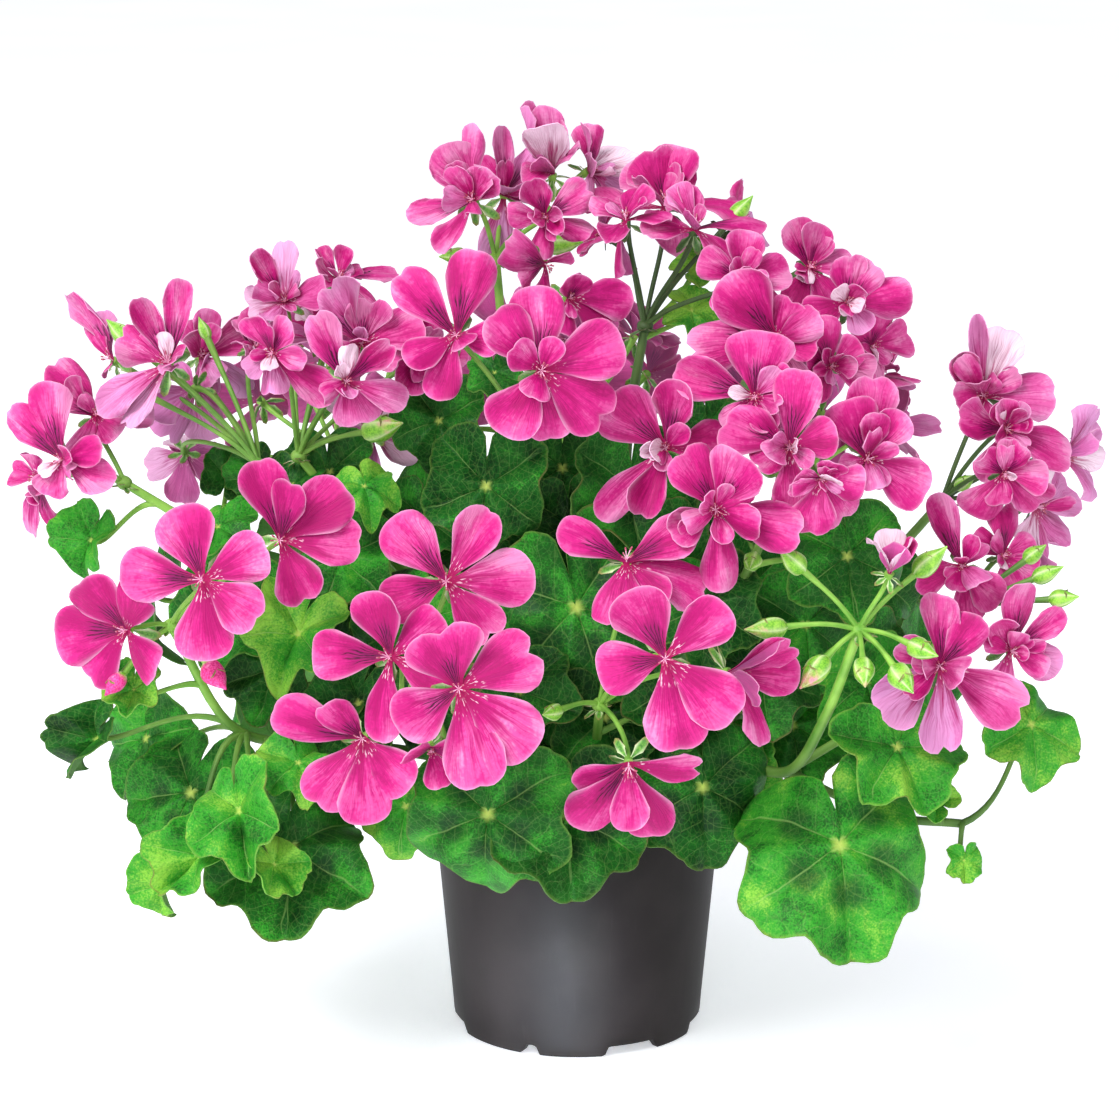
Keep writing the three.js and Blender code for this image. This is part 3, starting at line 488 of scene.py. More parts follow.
# The layout in millimetres. A stem is the points that it passes through. A leaf is the place of its
# stalk's end, azimuth, elevation, roll, width, fold and tone, from 0, dark, to 1, pale, partly the leaf's
# own green and partly painted shade, darkest on the leaves deep inside. Stems that show dark carry a
# painted shade, from 0, plain green, to 1, nearly black.
SHOOTS = {
    "far_left": {"stems": [
        [(-36, -6, 76), (-44, -8, 118), (-80, -14, 160), (-122, -20, 192), (-177, -25, 228)],
        [(-80, -14, 160), (-104, -22, 200), (-124, -30, 236)],
    ], "leaves": [
        (-190, -26, 205, -30, 30, 200, 34, 0.7, 0.5), (-140, -34, 212, 0, 60, 190, 40, 0.2, 0.45),
        (-134, -36, 180, -15, 30, 190, 56, 0, 0.35), (-139, 0, 224, 10, 40, 20, 28, 0.5, 0.1),
        (-172, 20, 172, -70, 30, 180, 52, 0.1, 0.35), (-100, 8, 196, -10, 45, 170, 44, 0.1, 0.25),
        (-118, -44, 158, -20, 30, 190, 50, 0.1, 0.1), (-112, -20, 226, -10, 45, 180, 36, 0.2, 0.2),
    ]},
    "left_front": {"stems": [
        [(-30, -22, 76), (-40, -30, 112), (-66, -42, 124), (-100, -52, 130), (-131, -62, 138),
         (-154, -80, 184)],
    ], "leaves": [
        (-150, -58, 112, -20, 30, 200, 65, 0, 0.4), (-109, -92, 100, -5, 35, 180, 75, 0, 0.25),
        (-126, -116, 122, -15, 25, 165, 52, 0.95, 0.6), (-158, -92, 86, -40, 5, 190, 34, 0.8, 0.75),
        (-141, -114, 104, -30, 25, 215, 40, 1, 0.6), (-114, -112, 100, 20, 20, 150, 30, 0.8, 0.7),
        (-105, -104, 137, 10, 50, 170, 36, 0, 0.6), (-186, -56, 133, -35, 15, 228, 50, 1.15, 0.15),
        (-168, -84, 160, -10, 50, 180, 28, 0.2, 0.7), (-170, -30, 126, -50, 30, 190, 54, 0, 0.35),
        (-98, -70, 142, -15, 35, 180, 46, 0.2, 0.15),
    ]},
    "centre_left_front": {"stems": [
        [(-15, -28, 76), (-24, -50, 112), (-44, -82, 134), (-66, -108, 155)],
    ], "leaves": [
        (-34, -106, 118, -5, 15, 185, 70, 0.2, 0.3), (-66, -76, 112, -10, 20, 190, 46, 0.1, 0.7),
        (-61, -58, 180, -15, 30, 190, 60, 0, 0.3), (-45, -70, 142, -25, 25, 190, 52, 0.1, 0.05),
        (-22, -78, 158, -10, 35, 170, 50, 0.1, 0.1), (-84, -66, 150, -20, 30, 200, 48, 0.2, 0.1),
    ]},
    "up_left": {"stems": [
        [(-20, 2, 76), (-32, -2, 130), (-60, -8, 178), (-90, -15, 212), (-109, -22, 238)],
    ], "leaves": [
        (-107, -62, 176, -5, 45, 200, 50, 0.8, 0.78), (-82, -52, 232, 10, 50, 170, 32, 0, 0.7),
        (-92, -42, 202, -10, 30, 190, 56, 0, 0.3), (-70, -40, 160, -20, 30, 180, 54, 0.1, 0.05),
        (-100, -30, 176, -30, 30, 190, 50, 0.1, 0.1), (-60, -30, 215, -5, 35, 180, 44, 0.1, 0.15),
        (-98, -4, 228, -10, 35, 170, 44, 0.1, 0.1), (-124, -4, 226, -20, 40, 190, 34, 0.2, 0.15),
    ]},
    "up_centre": {"shade": 0.15, "stems": [
        [(-4, 8, 76), (-12, 6, 140), (-24, 2, 220), (-32, -5, 313)],
    ], "leaves": [
        (-54, -22, 252, -10, 30, 190, 46, 0.1, 0.25), (-34, -14, 206, -10, 30, 180, 54, 0.1, 0.05),
        (-20, -12, 262, 0, 40, 170, 34, 0.1, 0.2),
    ]},
    "centre_top": {"stems": [
        [(0, -12, 76), (-4, -20, 140), (-12, -34, 200), (-22, -58, 257)],
    ], "leaves": [
        (-1, -62, 187, 10, 25, 165, 78, 0, 0.3), (-35, -60, 234, -10, 20, 185, 60, 0, 0.12),
        (-32, -40, 274, -10, 40, 170, 26, 0.1, 0.3), (-4, -44, 216, 5, 30, 180, 50, 0.1, 0.05),
    ]},
    "top_right": {"shade": 0.75, "stems": [
        [(14, 6, 76), (17, 0, 140), (18, -8, 200), (20, -16, 250), (26, -20, 289)],
        [(18, -8, 200), (46, -22, 232), (76, -40, 261)],
    ], "leaves": [
        (20, -40, 230, 15, 20, 180, 54, 0.1, 0.1), (46, -4, 309, 20, 45, 60, 26, 0.2, 0.8),
        (44, -14, 294, 20, 40, 120, 28, 0.1, 0.7), (36, -24, 206, 15, 30, 180, 50, 0.1, 0.05),
        (50, -20, 250, 20, 40, 180, 36, 0.1, 0.15),
    ]},
    "centre_right_front": {"stems": [
        [(10, -30, 76), (9, -50, 112), (7, -74, 134), (8, -90, 156)],
    ], "leaves": [
        (-4, -98, 115, 5, 20, 180, 66, 0, 0.15), (47, -84, 122, 15, 20, 180, 64, 0, 0.15),
        (56, -62, 126, 10, 30, 190, 44, 0.1, 0.6), (10, -72, 146, 15, 30, 170, 52, 0.1, 0.05),
        (38, -74, 158, 20, 35, 190, 50, 0.1, 0.1), (-8, -58, 128, 0, 25, 180, 54, 0, 0.05),
    ]},
    "right_middle": {"shade": 0.5, "stems": [
        [(26, -18, 76), (34, -28, 120), (54, -48, 172), (72, -70, 221)],
    ], "leaves": [
        (48, -68, 190, 10, 30, 185, 54, 0, 0.15), (102, -66, 208, 10, 20, 175, 56, 0, 0.35),
        (68, -28, 188, 20, 30, 180, 58, 0, 0.2), (70, -60, 160, 20, 35, 180, 50, 0.1, 0.1),
        (30, -50, 205, 10, 30, 175, 50, 0.1, 0.05),
    ]},
    "right_front": {"stems": [
        [(32, -28, 76), (40, -36, 112), (58, -56, 124), (80, -80, 127), (92, -97, 152), (103, -115, 191)],
        [(80, -80, 127), (114, -84, 152), (144, -80, 188)],
        [(80, -80, 127), (116, -88, 112), (146, -86, 108)],
    ], "leaves": [
        (97, -116, 109, 12, 25, 176, 87, 0, 0.52), (119, -100, 142, 20, 35, 160, 56, 0.3, 0.65),
        (171, -86, 147, 20, 35, 120, 48, 0.1, 0.6), (109, -80, 162, 20, 40, 180, 44, 0, 0.5),
        (136, -92, 118, -20, 40, 300, 20, 0.4, 0.7), (146, -94, 96, 20, 10, 180, 18, 0.3, 0.7),
    ]},
    "far_right": {"shade": 0.55, "stems": [
        [(38, -2, 76), (60, -8, 122), (96, -12, 168), (125, -16, 198), (143, -20, 220)],
    ], "leaves": [
        (88, -46, 176, 15, 30, 180, 56, 0, 0.3), (84, -40, 134, 20, 25, 180, 54, 0.1, 0.2),
        (140, 0, 150, 70, 30, 180, 60, 0.1, 0.4), (112, 16, 190, 30, 45, 170, 48, 0.1, 0.35),
        (112, -36, 158, 25, 30, 180, 50, 0.1, 0.1), (118, -20, 186, 30, 35, 185, 44, 0.1, 0.2),
    ]},
    "back_left": {"stems": [
        [(-26, 24, 76), (-48, 38, 128), (-78, 52, 178), (-98, 62, 216)],
    ], "leaves": [
        (-56, 22, 204, -10, 30, 180, 58, 0, 0.3), (-128, 60, 130, -110, 35, 180, 64, 0, 0.45),
        (-100, 104, 112, -150, 35, 180, 66, 0, 0.5), (-140, 46, 168, -100, 35, 180, 54, 0.1, 0.35),
        (-76, 110, 160, -170, 40, 180, 62, 0, 0.4), (-60, 70, 196, -160, 60, 180, 52, 0.1, 0.3),
        (-70, 62, 152, -165, 40, 180, 52, 0.1, 0.15), (-112, 78, 188, -150, 50, 180, 46, 0.1, 0.3),
        (-44, 70, 128, -170, 30, 180, 52, 0.1, 0.2),
    ]},
    "back_centre": {"stems": [
        [(0, 32, 76), (0, 50, 128), (-2, 70, 178), (-5, 84, 222)],
    ], "leaves": [
        (-6, 24, 224, 0, 30, 180, 60, 0, 0.2), (-12, 22, 162, -5, 35, 180, 60, 0, 0.1),
        (-34, 128, 110, -170, 35, 180, 68, 0, 0.5), (30, 130, 116, 165, 35, 180, 66, 0, 0.45),
        (0, 122, 162, 180, 40, 185, 60, 0, 0.4), (34, 92, 196, 160, 55, 180, 52, 0.1, 0.35),
        (-30, 104, 190, -165, 45, 180, 46, 0, 0.5), (10, 82, 140, 175, 35, 180, 54, 0.1, 0.15),
        (-24, 84, 212, -175, 50, 180, 44, 0.1, 0.35), (22, 66, 172, 165, 40, 180, 50, 0.1, 0.2),
    ]},
    "back_right": {"stems": [
        [(26, 22, 76), (50, 36, 128), (78, 50, 178), (96, 58, 214)],
    ], "leaves": [
        (42, 24, 212, 10, 30, 180, 58, 0, 0.3), (124, 62, 126, 110, 35, 180, 66, 0, 0.4),
        (92, 106, 116, 145, 35, 180, 66, 0, 0.5), (136, 40, 168, 100, 35, 180, 54, 0.1, 0.35),
        (74, 112, 162, 165, 40, 180, 60, 0, 0.45), (62, 62, 196, 150, 60, 180, 50, 0.1, 0.3),
        (58, 70, 142, 160, 35, 180, 54, 0.1, 0.15), (110, 76, 192, 140, 50, 180, 46, 0.1, 0.3),
        (84, 56, 166, 150, 40, 180, 50, 0.1, 0.2),
    ]},
}
UP = np.array([0.0, 0.0, 1.0])


def place_of(spec):
    return MM * np.array(spec[:3], float)


def unit(vector):
    return vector / np.linalg.norm(vector)


def turned(top, side, turn):
    """The direction that lies a turn away from the top, towards the side."""
    return math.cos(turn) * top + math.sin(turn) * side


def blade_frame(azimuth, elevation, roll=0):
    """The way a blade faces, its top and its side. Azimuth 0 is the front (-Y) and 90 is +X; roll turns
    the top clockwise as seen by someone it faces."""
    azimuth, elevation, roll = (math.radians(angle) for angle in (azimuth, elevation, roll))
    level = math.cos(elevation)
    facing = np.array([math.sin(azimuth) * level, -math.cos(azimuth) * level, math.sin(elevation)])
    up = unit(UP - facing[2] * facing)
    top = turned(up, np.cross(up, facing), roll)
    return facing, top, np.cross(top, facing)


def smooth_path(points, steps):
    """A centripetal Catmull-Rom curve through points, with so many steps between each two."""
    knots = [2 * points[0] - points[1], *points, 2 * points[-1] - points[-2]]
    path = []
    for before, start, end, after in zip(knots, knots[1:], knots[2:], knots[3:]):
        first, middle, last = (
            np.linalg.norm(b - a) ** 0.5 for a, b in ((before, start), (start, end), (end, after))
        )
        leaving = (start - before) / first - (end - before) / (first + middle) + (end - start) / middle
        arriving = (end - start) / middle - (after - start) / (middle + last) + (after - end) / last
        for share in np.arange(steps) / steps:
            path.append(
                (2 * share ** 3 - 3 * share ** 2 + 1) * start
                + (share ** 3 - 2 * share ** 2 + share) * middle * leaving
                + (3 * share ** 2 - 2 * share ** 3) * end
                + (share ** 3 - share ** 2) * middle * arriving
            )
    return np.array([*path, points[-1]])


def stalk_path(start, leaving, end, arriving, steps=14):
    """A stalk that leaves one point along a first direction and arrives along a second."""
    reach = 0.4 * np.linalg.norm(end - start)
    handles = [start, start + reach * leaving, end - reach * arriving, end]
    gone = np.linspace(0, 1, steps + 1)[:, None]
    left = 1 - gone
    weights = (left ** 3, 3 * gone * left ** 2, 3 * gone ** 2 * left, gone ** 3)
    return sum(weight * handle for weight, handle in zip(weights, handles))


def bed_of(points, edges=(), **values):
    """A mesh of loose points or chains of points, with named values at each."""
    mesh = bpy.data.meshes.new("bed")
    mesh.from_pydata([tuple(point) for point in points], list(edges), [])
    for name, numbers in values.items():
        numbers = np.array(numbers, np.float32)
        vectors = numbers.ndim == 2
        attribute = mesh.attributes.new(name, "FLOAT_VECTOR" if vectors else "FLOAT", "POINT")
        attribute.data.foreach_set("vector" if vectors else "value", numbers.ravel())
    return mesh


class Stalks:
    """Stalks to be grown together: a chain of points for each, with its thickness and looks."""

    def __init__(self):
        self.points = []
        self.edges = []
        self.values = {"thick": [], "along": [], "shade": [], "flush": []}

    def lay(self, path, thick, shade=0.0, flush=0.0):
        """Adds one stalk. thick is its radius at even steps along it, in metres."""
        first = len(self.points)
        shares = np.linspace(0, 1, len(path))
        self.points.extend(path)
        self.edges.extend((first + k, first + k + 1) for k in range(len(path) - 1))
        self.values["thick"].extend(np.interp(shares, np.linspace(0, 1, len(thick)), thick))
        self.values["along"].extend(shares)
        self.values["shade"].extend([shade] * len(path))
        self.values["flush"].extend(shares * flush)

    def grown(self, sides, rib, material):
        bed = bed_of(self.points, self.edges, **self.values)
        return grow(bed, STALKS, Sides=sides, Rib=rib, Material=material)


def held(tree, name, kind="FLOAT"):
    """A value that each point of the bed holds."""
    return add(tree, "GeometryNodeInputNamedAttribute", {"Name": name}, data_type=kind)


def all_held(tree, *names):
    return [held(tree, name) for name in names]


def keep(geometry, name, value):
    """Writes a value on the geometry, for its material to read."""
    inputs = {"Name": name, "Value": value}
    return geometry.then("StoreNamedAttribute", inputs, data_type="FLOAT", domain="POINT")


def smoothed(geometry):
    return geometry.then("SetShadeSmooth", {"Shade Smooth": True})


def stalk_tree():
    """A closed tube along each chain of points. Every second corner of its section is a rib."""
    tree, given = start_tree("stalks", Sides="Int", Rib="Float", Material="Material")
    rib = add(tree, "GeometryNodeInputIndex").math("MODULO", 2)
    swell = scaled(add(tree, "GeometryNodeInputPosition"), rib * given["Rib"])
    section = add(tree, "GeometryNodeCurvePrimitiveCircle", {"Resolution": given["Sides"], "Radius": 1.0})
    section = keep(section, "rib", rib).then("SetPosition", {"Offset": swell})
    tubes = given["Geometry"].then("MeshToCurve").then(
        "CurveToMesh", {"Profile Curve": section, "Scale": held(tree, "thick"), "Fill Caps": True}
    )
    return end_tree(smoothed(tubes), given["Material"])


def seen(tree, name):
    """A value that the shader reads from the mesh."""
    return add(tree, "ShaderNodeAttribute", attribute_name=name).output("Fac")


def all_seen(tree, *names):
    return [seen(tree, name) for name in names]


STALKS = stalk_tree()

stalk_material, tree, place = new_material("green_stalk")
down = grain(place, 2400.0)
# Painted shade: the stalks darken low down towards the peat, and each by its shade value, up to nearly
# black.
low = add(tree, "ShaderNodeSeparateXYZ", (place,)).output("Z").smooth(0.165, 0.115)
stalk_colour = painted(
    "5d9a2e", (grain(place, 90.0).smooth(0.3, 0.7), "8cc14b"), (seen(tree, "rib") * 0.3, "a9cf6c"),
    (seen(tree, "flush"), "b0655c"), (low * 0.75, "2a4a1e"), (seen(tree, "shade"), "1f2a22"),
)
set_surface(principled(stalk_colour, 0.45 + 0.2 * down, bumped(down, 0.35, 0.0003), Specular_IOR_Level=0.4))

# The leaves. Each is a fleshy shield with five lobes, held from beneath at its middle. It is creased
# along the veins, so that its facets catch the light, and its base is a narrow notch.
LEAF_THICKNESS = 0.0005
LARGE_LEAF = 62
BEHIND_LEAF = 8
# A lobed outline is how far the rim stands from the middle at so many degrees from the tip.
PLAIN_LOBES = [
    (0, 1.0), (12, 0.96), (30, 0.80), (47, 0.94), (62, 1.0), (77, 0.94), (94, 0.79), (112, 0.89),
    (127, 0.94), (145, 0.90), (168, 0.74), (180, 0.30),
]
BLUNT_LOBES = [
    (0, 0.98), (15, 0.99), (31, 0.86), (48, 0.98), (62, 1.0), (76, 0.97), (94, 0.85), (110, 0.94),
    (127, 0.95), (144, 0.92), (168, 0.76), (180, 0.30),
]
VEIN_ANGLES = (0, 62, 127)
HALF_SECTOR = 31
LEAF_GLOW = 0.16


def curve_through(value, points):
    """Reads a value from 0 to 1 off a soft curve through [input, output] points."""
    read = add(value.tree, "ShaderNodeFloatCurve", {"Value": value})
    mapping = read.socket.node.mapping
    line = mapping.curves[0]
    for knot, point in zip(line.points, (points[0], points[-1])):
        knot.location = point
    for point in points[1:-1]:
        line.points.new(*point)
    for knot in line.points:
        knot.handle_type = "AUTO"
    mapping.update()
    return read


def off_vein(degrees):
    """Degrees from the nearest main vein."""
    gaps = [abs(degrees - angle) for angle in VEIN_ANGLES]
    return gaps[0].at_most(gaps[1]).at_most(gaps[2])


def vector_of(x, y, z):
    return add(x.tree, "ShaderNodeCombineXYZ", (x, y, z))


def wavy(x, y, z, scale=1.0, detail=1.0):
    """Even noise from -0.5 to 0.5."""
    return grain(vector_of(x, y, z), scale, detail) - 0.5


def spread_blades(tree, bed, rows, columns):
    """Lays one flat grid on each point of the bed. Across runs from -1 to 1 and along from 0 to 1."""
    size = {"Size X": 2.0, "Size Y": 1.0, "Vertices X": columns, "Vertices Y": rows}
    place = add(tree, "ShaderNodeSeparateXYZ", (add(tree, "GeometryNodeInputPosition"),))
    sheet = keep(add(tree, "GeometryNodeMeshGrid", size), "across", place)
    sheet = keep(sheet, "along", place.output("Y") + 0.5)
    return bed.then("InstanceOnPoints", {"Instance": sheet}).then("RealizeInstances")


def placed(blades, first, second, third):
    """Moves a blade's points to its root, plus amounts along its top, its side and its facing."""
    tree = blades.tree
    total = held(tree, "root", "FLOAT_VECTOR")
    for name, amount in (("top", first), ("side", second), ("facing", third)):
        step = scaled(held(tree, name, "FLOAT_VECTOR"), amount)
        total = add(tree, "ShaderNodeVectorMath", (total, step), operation="ADD")
    return blades.then("SetPosition", {"Position": total})


def thickened(sheet, thickness):
    """Gives open sheets an underside and a rim, so that each is a closed thin body."""
    sheet = sheet.then("MergeByDistance", {"Distance": 2e-6})
    normal = add(sheet.tree, "GeometryNodeInputNormal")
    raised = sheet.then("ExtrudeMesh", {"Offset": normal, "Offset Scale": thickness, "Individual": False})
    rim = {"Selection": raised.output("Side"), "Shade Smooth": False}
    upper = keep(smoothed(raised).then("SetShadeSmooth", rim), "under", 0.0)
    lower = keep(smoothed(sheet.then("FlipFaces")), "under", 1.0)
    return joined(upper, lower).then("MergeByDistance", {"Distance": 1e-6})


def leaf_tree():
    """A lobed, creased and slightly crumpled leaf on each point of the bed."""
    tree, given = start_tree(
        "leaves", Rings="Int", Spokes="Int", Thickness="Float", Crumple="Float", Scallop="Float",
        Material="Material",
    )
    leaves = spread_blades(tree, given["Geometry"], given["Rings"], given["Spokes"])
    turn, along, reach, seed, swing = all_held(tree, "across", "along", "reach", "seed", "swing")
    half_turn = abs(turn)
    angle = turn * math.pi
    plain = curve_through(half_turn, [(degrees / 180, share) for degrees, share in PLAIN_LOBES])
    blunt = curve_through(half_turn, [(degrees / 180, share) for degrees, share in BLUNT_LOBES])
    outline = plain + held(tree, "blunt") * (blunt - plain)
    wobble = wavy(angle.cosine(), angle.sine(), seed, 1.7)
    scallop = (abs((angle * 9.5 + 5 * wobble).sine()) - 0.6) * given["Scallop"]
    outline = outline * (1 + along * (0.30 * wobble + scallop))
    radius = reach * along * outline
    ahead = radius * angle.cosine()
    aside = radius * angle.sine() * held(tree, "stretch")
    crease = (off_vein(half_turn * 180) / HALF_SECTOR).at_most(1.0)
    relief = along * (0.30 * crease ** 0.8 - 0.10)
    warp = wavy(ahead / reach * 1.2, aside / reach * 1.2, seed * 1.7, detail=2.0) * given["Crumple"] * along
    warp = warp + wavy(ahead / reach * 3.6, aside / reach * 3.6, seed) * 0.12 * along
    bend_way = seed * 2.4
    droop_way = bend_way + 2.3
    outlying = (ahead * bend_way.cosine() + aside * bend_way.sine()) / reach
    opposite = (ahead * droop_way.cosine() + aside * droop_way.sine()) / reach
    rolled = held(tree, "bend") * (outlying - 0.05).at_least(0.0) ** 2
    rolled = rolled + held(tree, "droop") * (opposite - 0.2).at_least(0.0) ** 2
    cupped = held(tree, "cup") * (radius / reach) ** 2
    shorter = 1 - 0.28 * rolled
    lift = reach * (relief + warp + cupped - rolled) + abs(aside) * swing.sine()
    leaves = placed(leaves, ahead * shorter, aside * swing.cosine() * shorter, lift)
    leaves = keep(leaves, "across", half_turn)
    return end_tree(thickened(leaves, given["Thickness"]), given["Material"])


def leaf_finish():
    """Waxy green, paler beneath, with pale veins and on some leaves a dark ring."""
    material, tree, place = new_material("leaf")
    half_turn, along, tone, under = all_seen(tree, "across", "along", "tone", "under")
    bent = (grain(place, 70.0, 1.0) - 0.5) * 22
    off = off_vein(half_turn * 180 + bent * along) * math.radians(1)
    vein = (1 - (off * along).smooth(0.004, 0.017)) * along.smooth(1.02, 0.7)
    bone = (along * (1 - 0.9 * off) * 7).fraction()
    side_vein = abs(bone - 0.5).smooth(0.07, 0.0) * 0.5 * off.smooth(0.0, 0.06)
    patch = grain(place, 62.0, 4.0)
    mottle = grain(place, 1300.0)
    net = add(tree, "ShaderNodeTexVoronoi", {"Vector": place, "Scale": 380.0}, feature="DISTANCE_TO_EDGE")
    # The tone is partly each leaf's own green and partly painted shade, dark on the leaves deep inside the
    # plant.
    light = tone + (patch - 0.5) * 1.7 + (mottle - 0.5) * 0.85 + 0.06
    # Painted shade: dark bands across the blade stand in for the shade that falls on its creased facets.
    painted_shade_bands = abs((along * 3 + off * 5 + patch * 3).fraction() - 0.5).smooth(0.30, 0.5)
    ring = abs(along - 0.42).smooth(0.22, 0.04) * off.smooth(0.62, 0.2)
    ring = ring * seen(tree, "zone") * patch.smooth(0.30, 0.5)
    green = painted(
        "08300f",
        (light.smooth(-0.15, 0.30), "1b5f1d"),
        (light.smooth(0.30, 0.62), "349a2b"),
        (light.smooth(0.62, 1.10), "92cc48"),
        (painted_shade_bands * 0.18, "0a3a1a"),
        (ring * 0.7, "17281f"),
        (net.smooth(0.10, 0.0) * 0.16, "7db356"),
        (side_vein * 0.22, "a5cf72"),
        (vein * (0.22 + 0.25 * tone), "a6cf74"),
        (along.smooth(0.12, 0.0) * 0.8, "c4d866"),
        (along.smooth(0.95, 1.0) * patch.smooth(0.60, 0.40) * (0.10 + 0.40 * tone), "a9cf5a"),
        (along.smooth(0.965, 1.0) * patch.smooth(0.45, 0.65) * 0.6, "7a5a3a"),
        (under * 0.65, "6f9c58"),
    )
    normal = bumped(mottle * 0.5 + patch * 1.5 - vein * 1.2 - side_vein * 0.6, 0.40, 0.0006)
    skin = principled(green, 0.38 + 0.16 * mottle + 0.2 * under, normal, Specular_IOR_Level=0.12)
    set_surface(glowing(skin, LEAF_GLOW, painted(green, (0.5, "9fd04a")), normal))
    return material


def glowing(skin, share, tint, normal):
    """Lets some light through a thin blade."""
    glow = add(skin.tree, "ShaderNodeBsdfTranslucent", {"Color": tint, "Normal": normal})
    return add(skin.tree, "ShaderNodeMixShader", (share, skin, glow))


def nearest_on(stems, target):
    """The best place for a leaf's stalk to start: near the leaf, above the pot's rim, and rather lower
    than the leaf than higher."""
    best_cost = math.inf
    for point in (point for path in stems for point in path):
        cost = np.linalg.norm(point - target) + 0.4 * max(0.0, point[2] - target[2] + 12 * MM)
        if cost < best_cost and point[2] > LOWEST_LEAF_STALK * MM:
            best_cost = cost
            best = point
    return best


class Blades:
    """Leaves or petals to be grown together, one row of values for each."""

    def __init__(self):
        self.rows = []

    def lay(self, root, top, side, facing, **values):
        self.rows.append({"root": root, "top": top, "side": side, "facing": facing, **values})

    def grown(self, tree, **settings):
        values = {name: [row[name] for row in self.rows] for name in self.rows[0]}
        return grow(bed_of(values["root"], **values), tree, **settings)


LEAVES = leaf_tree()
LEAF_MATERIAL = leaf_finish()

for order, (name, shoot) in enumerate(SHOOTS.items()):
    rng = np.random.default_rng(SHOOT_SEED + order)
    stalks = Stalks()
    leaves = Blades()
    stems = [smooth_path([place_of(point) for point in points], STEM_STEPS) for points in shoot["stems"]]
    for rank, path in enumerate(stems):
        thick = BRANCH_RADIUS if rank else STEM_RADIUS
        stalks.lay(path, MM * np.array([thick, BRANCH_RADIUS]), shoot.get("shade", 0.0))
    for spec in shoot["leaves"]:
        azimuth, elevation, roll, width, fold, tone = spec[3:]
        end = place_of(spec)
        facing, top, side = blade_frame(azimuth, elevation, roll)
        start = nearest_on(stems, end - BEHIND_LEAF * MM * facing)
        level = unit((end - start) * (1, 1, 0))
        path = stalk_path(start, unit(level + (0, 0, 0.4)), end, facing)
        stalks.lay(path, MM * (LEAF_STALK_RADIUS + np.array([0.5, 0, 0, 0.2])))
        large = float(width > LARGE_LEAF)
        leaves.lay(
            end, top, side, facing, reach=MM * width / 2, swing=math.radians(45 * fold), tone=tone,
            blunt=large, zone=large, seed=rng.uniform(0, 50), bend=rng.uniform(0.2, 1.15),
            droop=rng.uniform(-0.5, 0.9), cup=rng.normal(0.0, 0.12), stretch=rng.uniform(0.86, 1.08),
        )
    leaf_mesh = leaves.grown(
        LEAVES, Rings=10, Spokes=89, Thickness=LEAF_THICKNESS, Crumple=0.46, Scallop=0.036,
        Material=LEAF_MATERIAL,
    )
    stalk_mesh = stalks.grown(STALK_SIDES, 0.07, stalk_material)
    piece_of(f"{name}_leafy_shoot", [leaf_mesh, stalk_mesh], "leaf", f"{name}_shoot")


# The umbels. A round knob with a ruff of bracts tips each flower stem, and slender stalks fan out of it
# to the florets and the pointed buds. Every floret has two upper petals with dark feathering and three
# plainer lower ones, and many are half double, with a few small petals round their hearts.
PEDICEL_RADIUS = 0.95
CALYX_RADIUS = 1.9
PETAL_ANGLES = (-34, 34, 108, 176, 244)
PETAL_THICKNESS = 0.00032
PETAL_GLOW = 0.18
# The petal's width at so much of its length.
PETAL_OUTLINE = [(0, 0.11), (0.12, 0.18), (0.28, 0.38), (0.50, 0.70), (0.72, 0.92), (0.88, 1.0), (1, 1.0)]
# The strokes of the feathering: how far each lies from the middle, how it forks and where it ends.
MARK_STROKES = [
    (0.0, 0.0, 0.60), (0.075, 0.10, 0.58), (0.085, -0.10, 0.45), (0.165, 0.25, 0.52), (0.27, 0.1, 0.40),
]
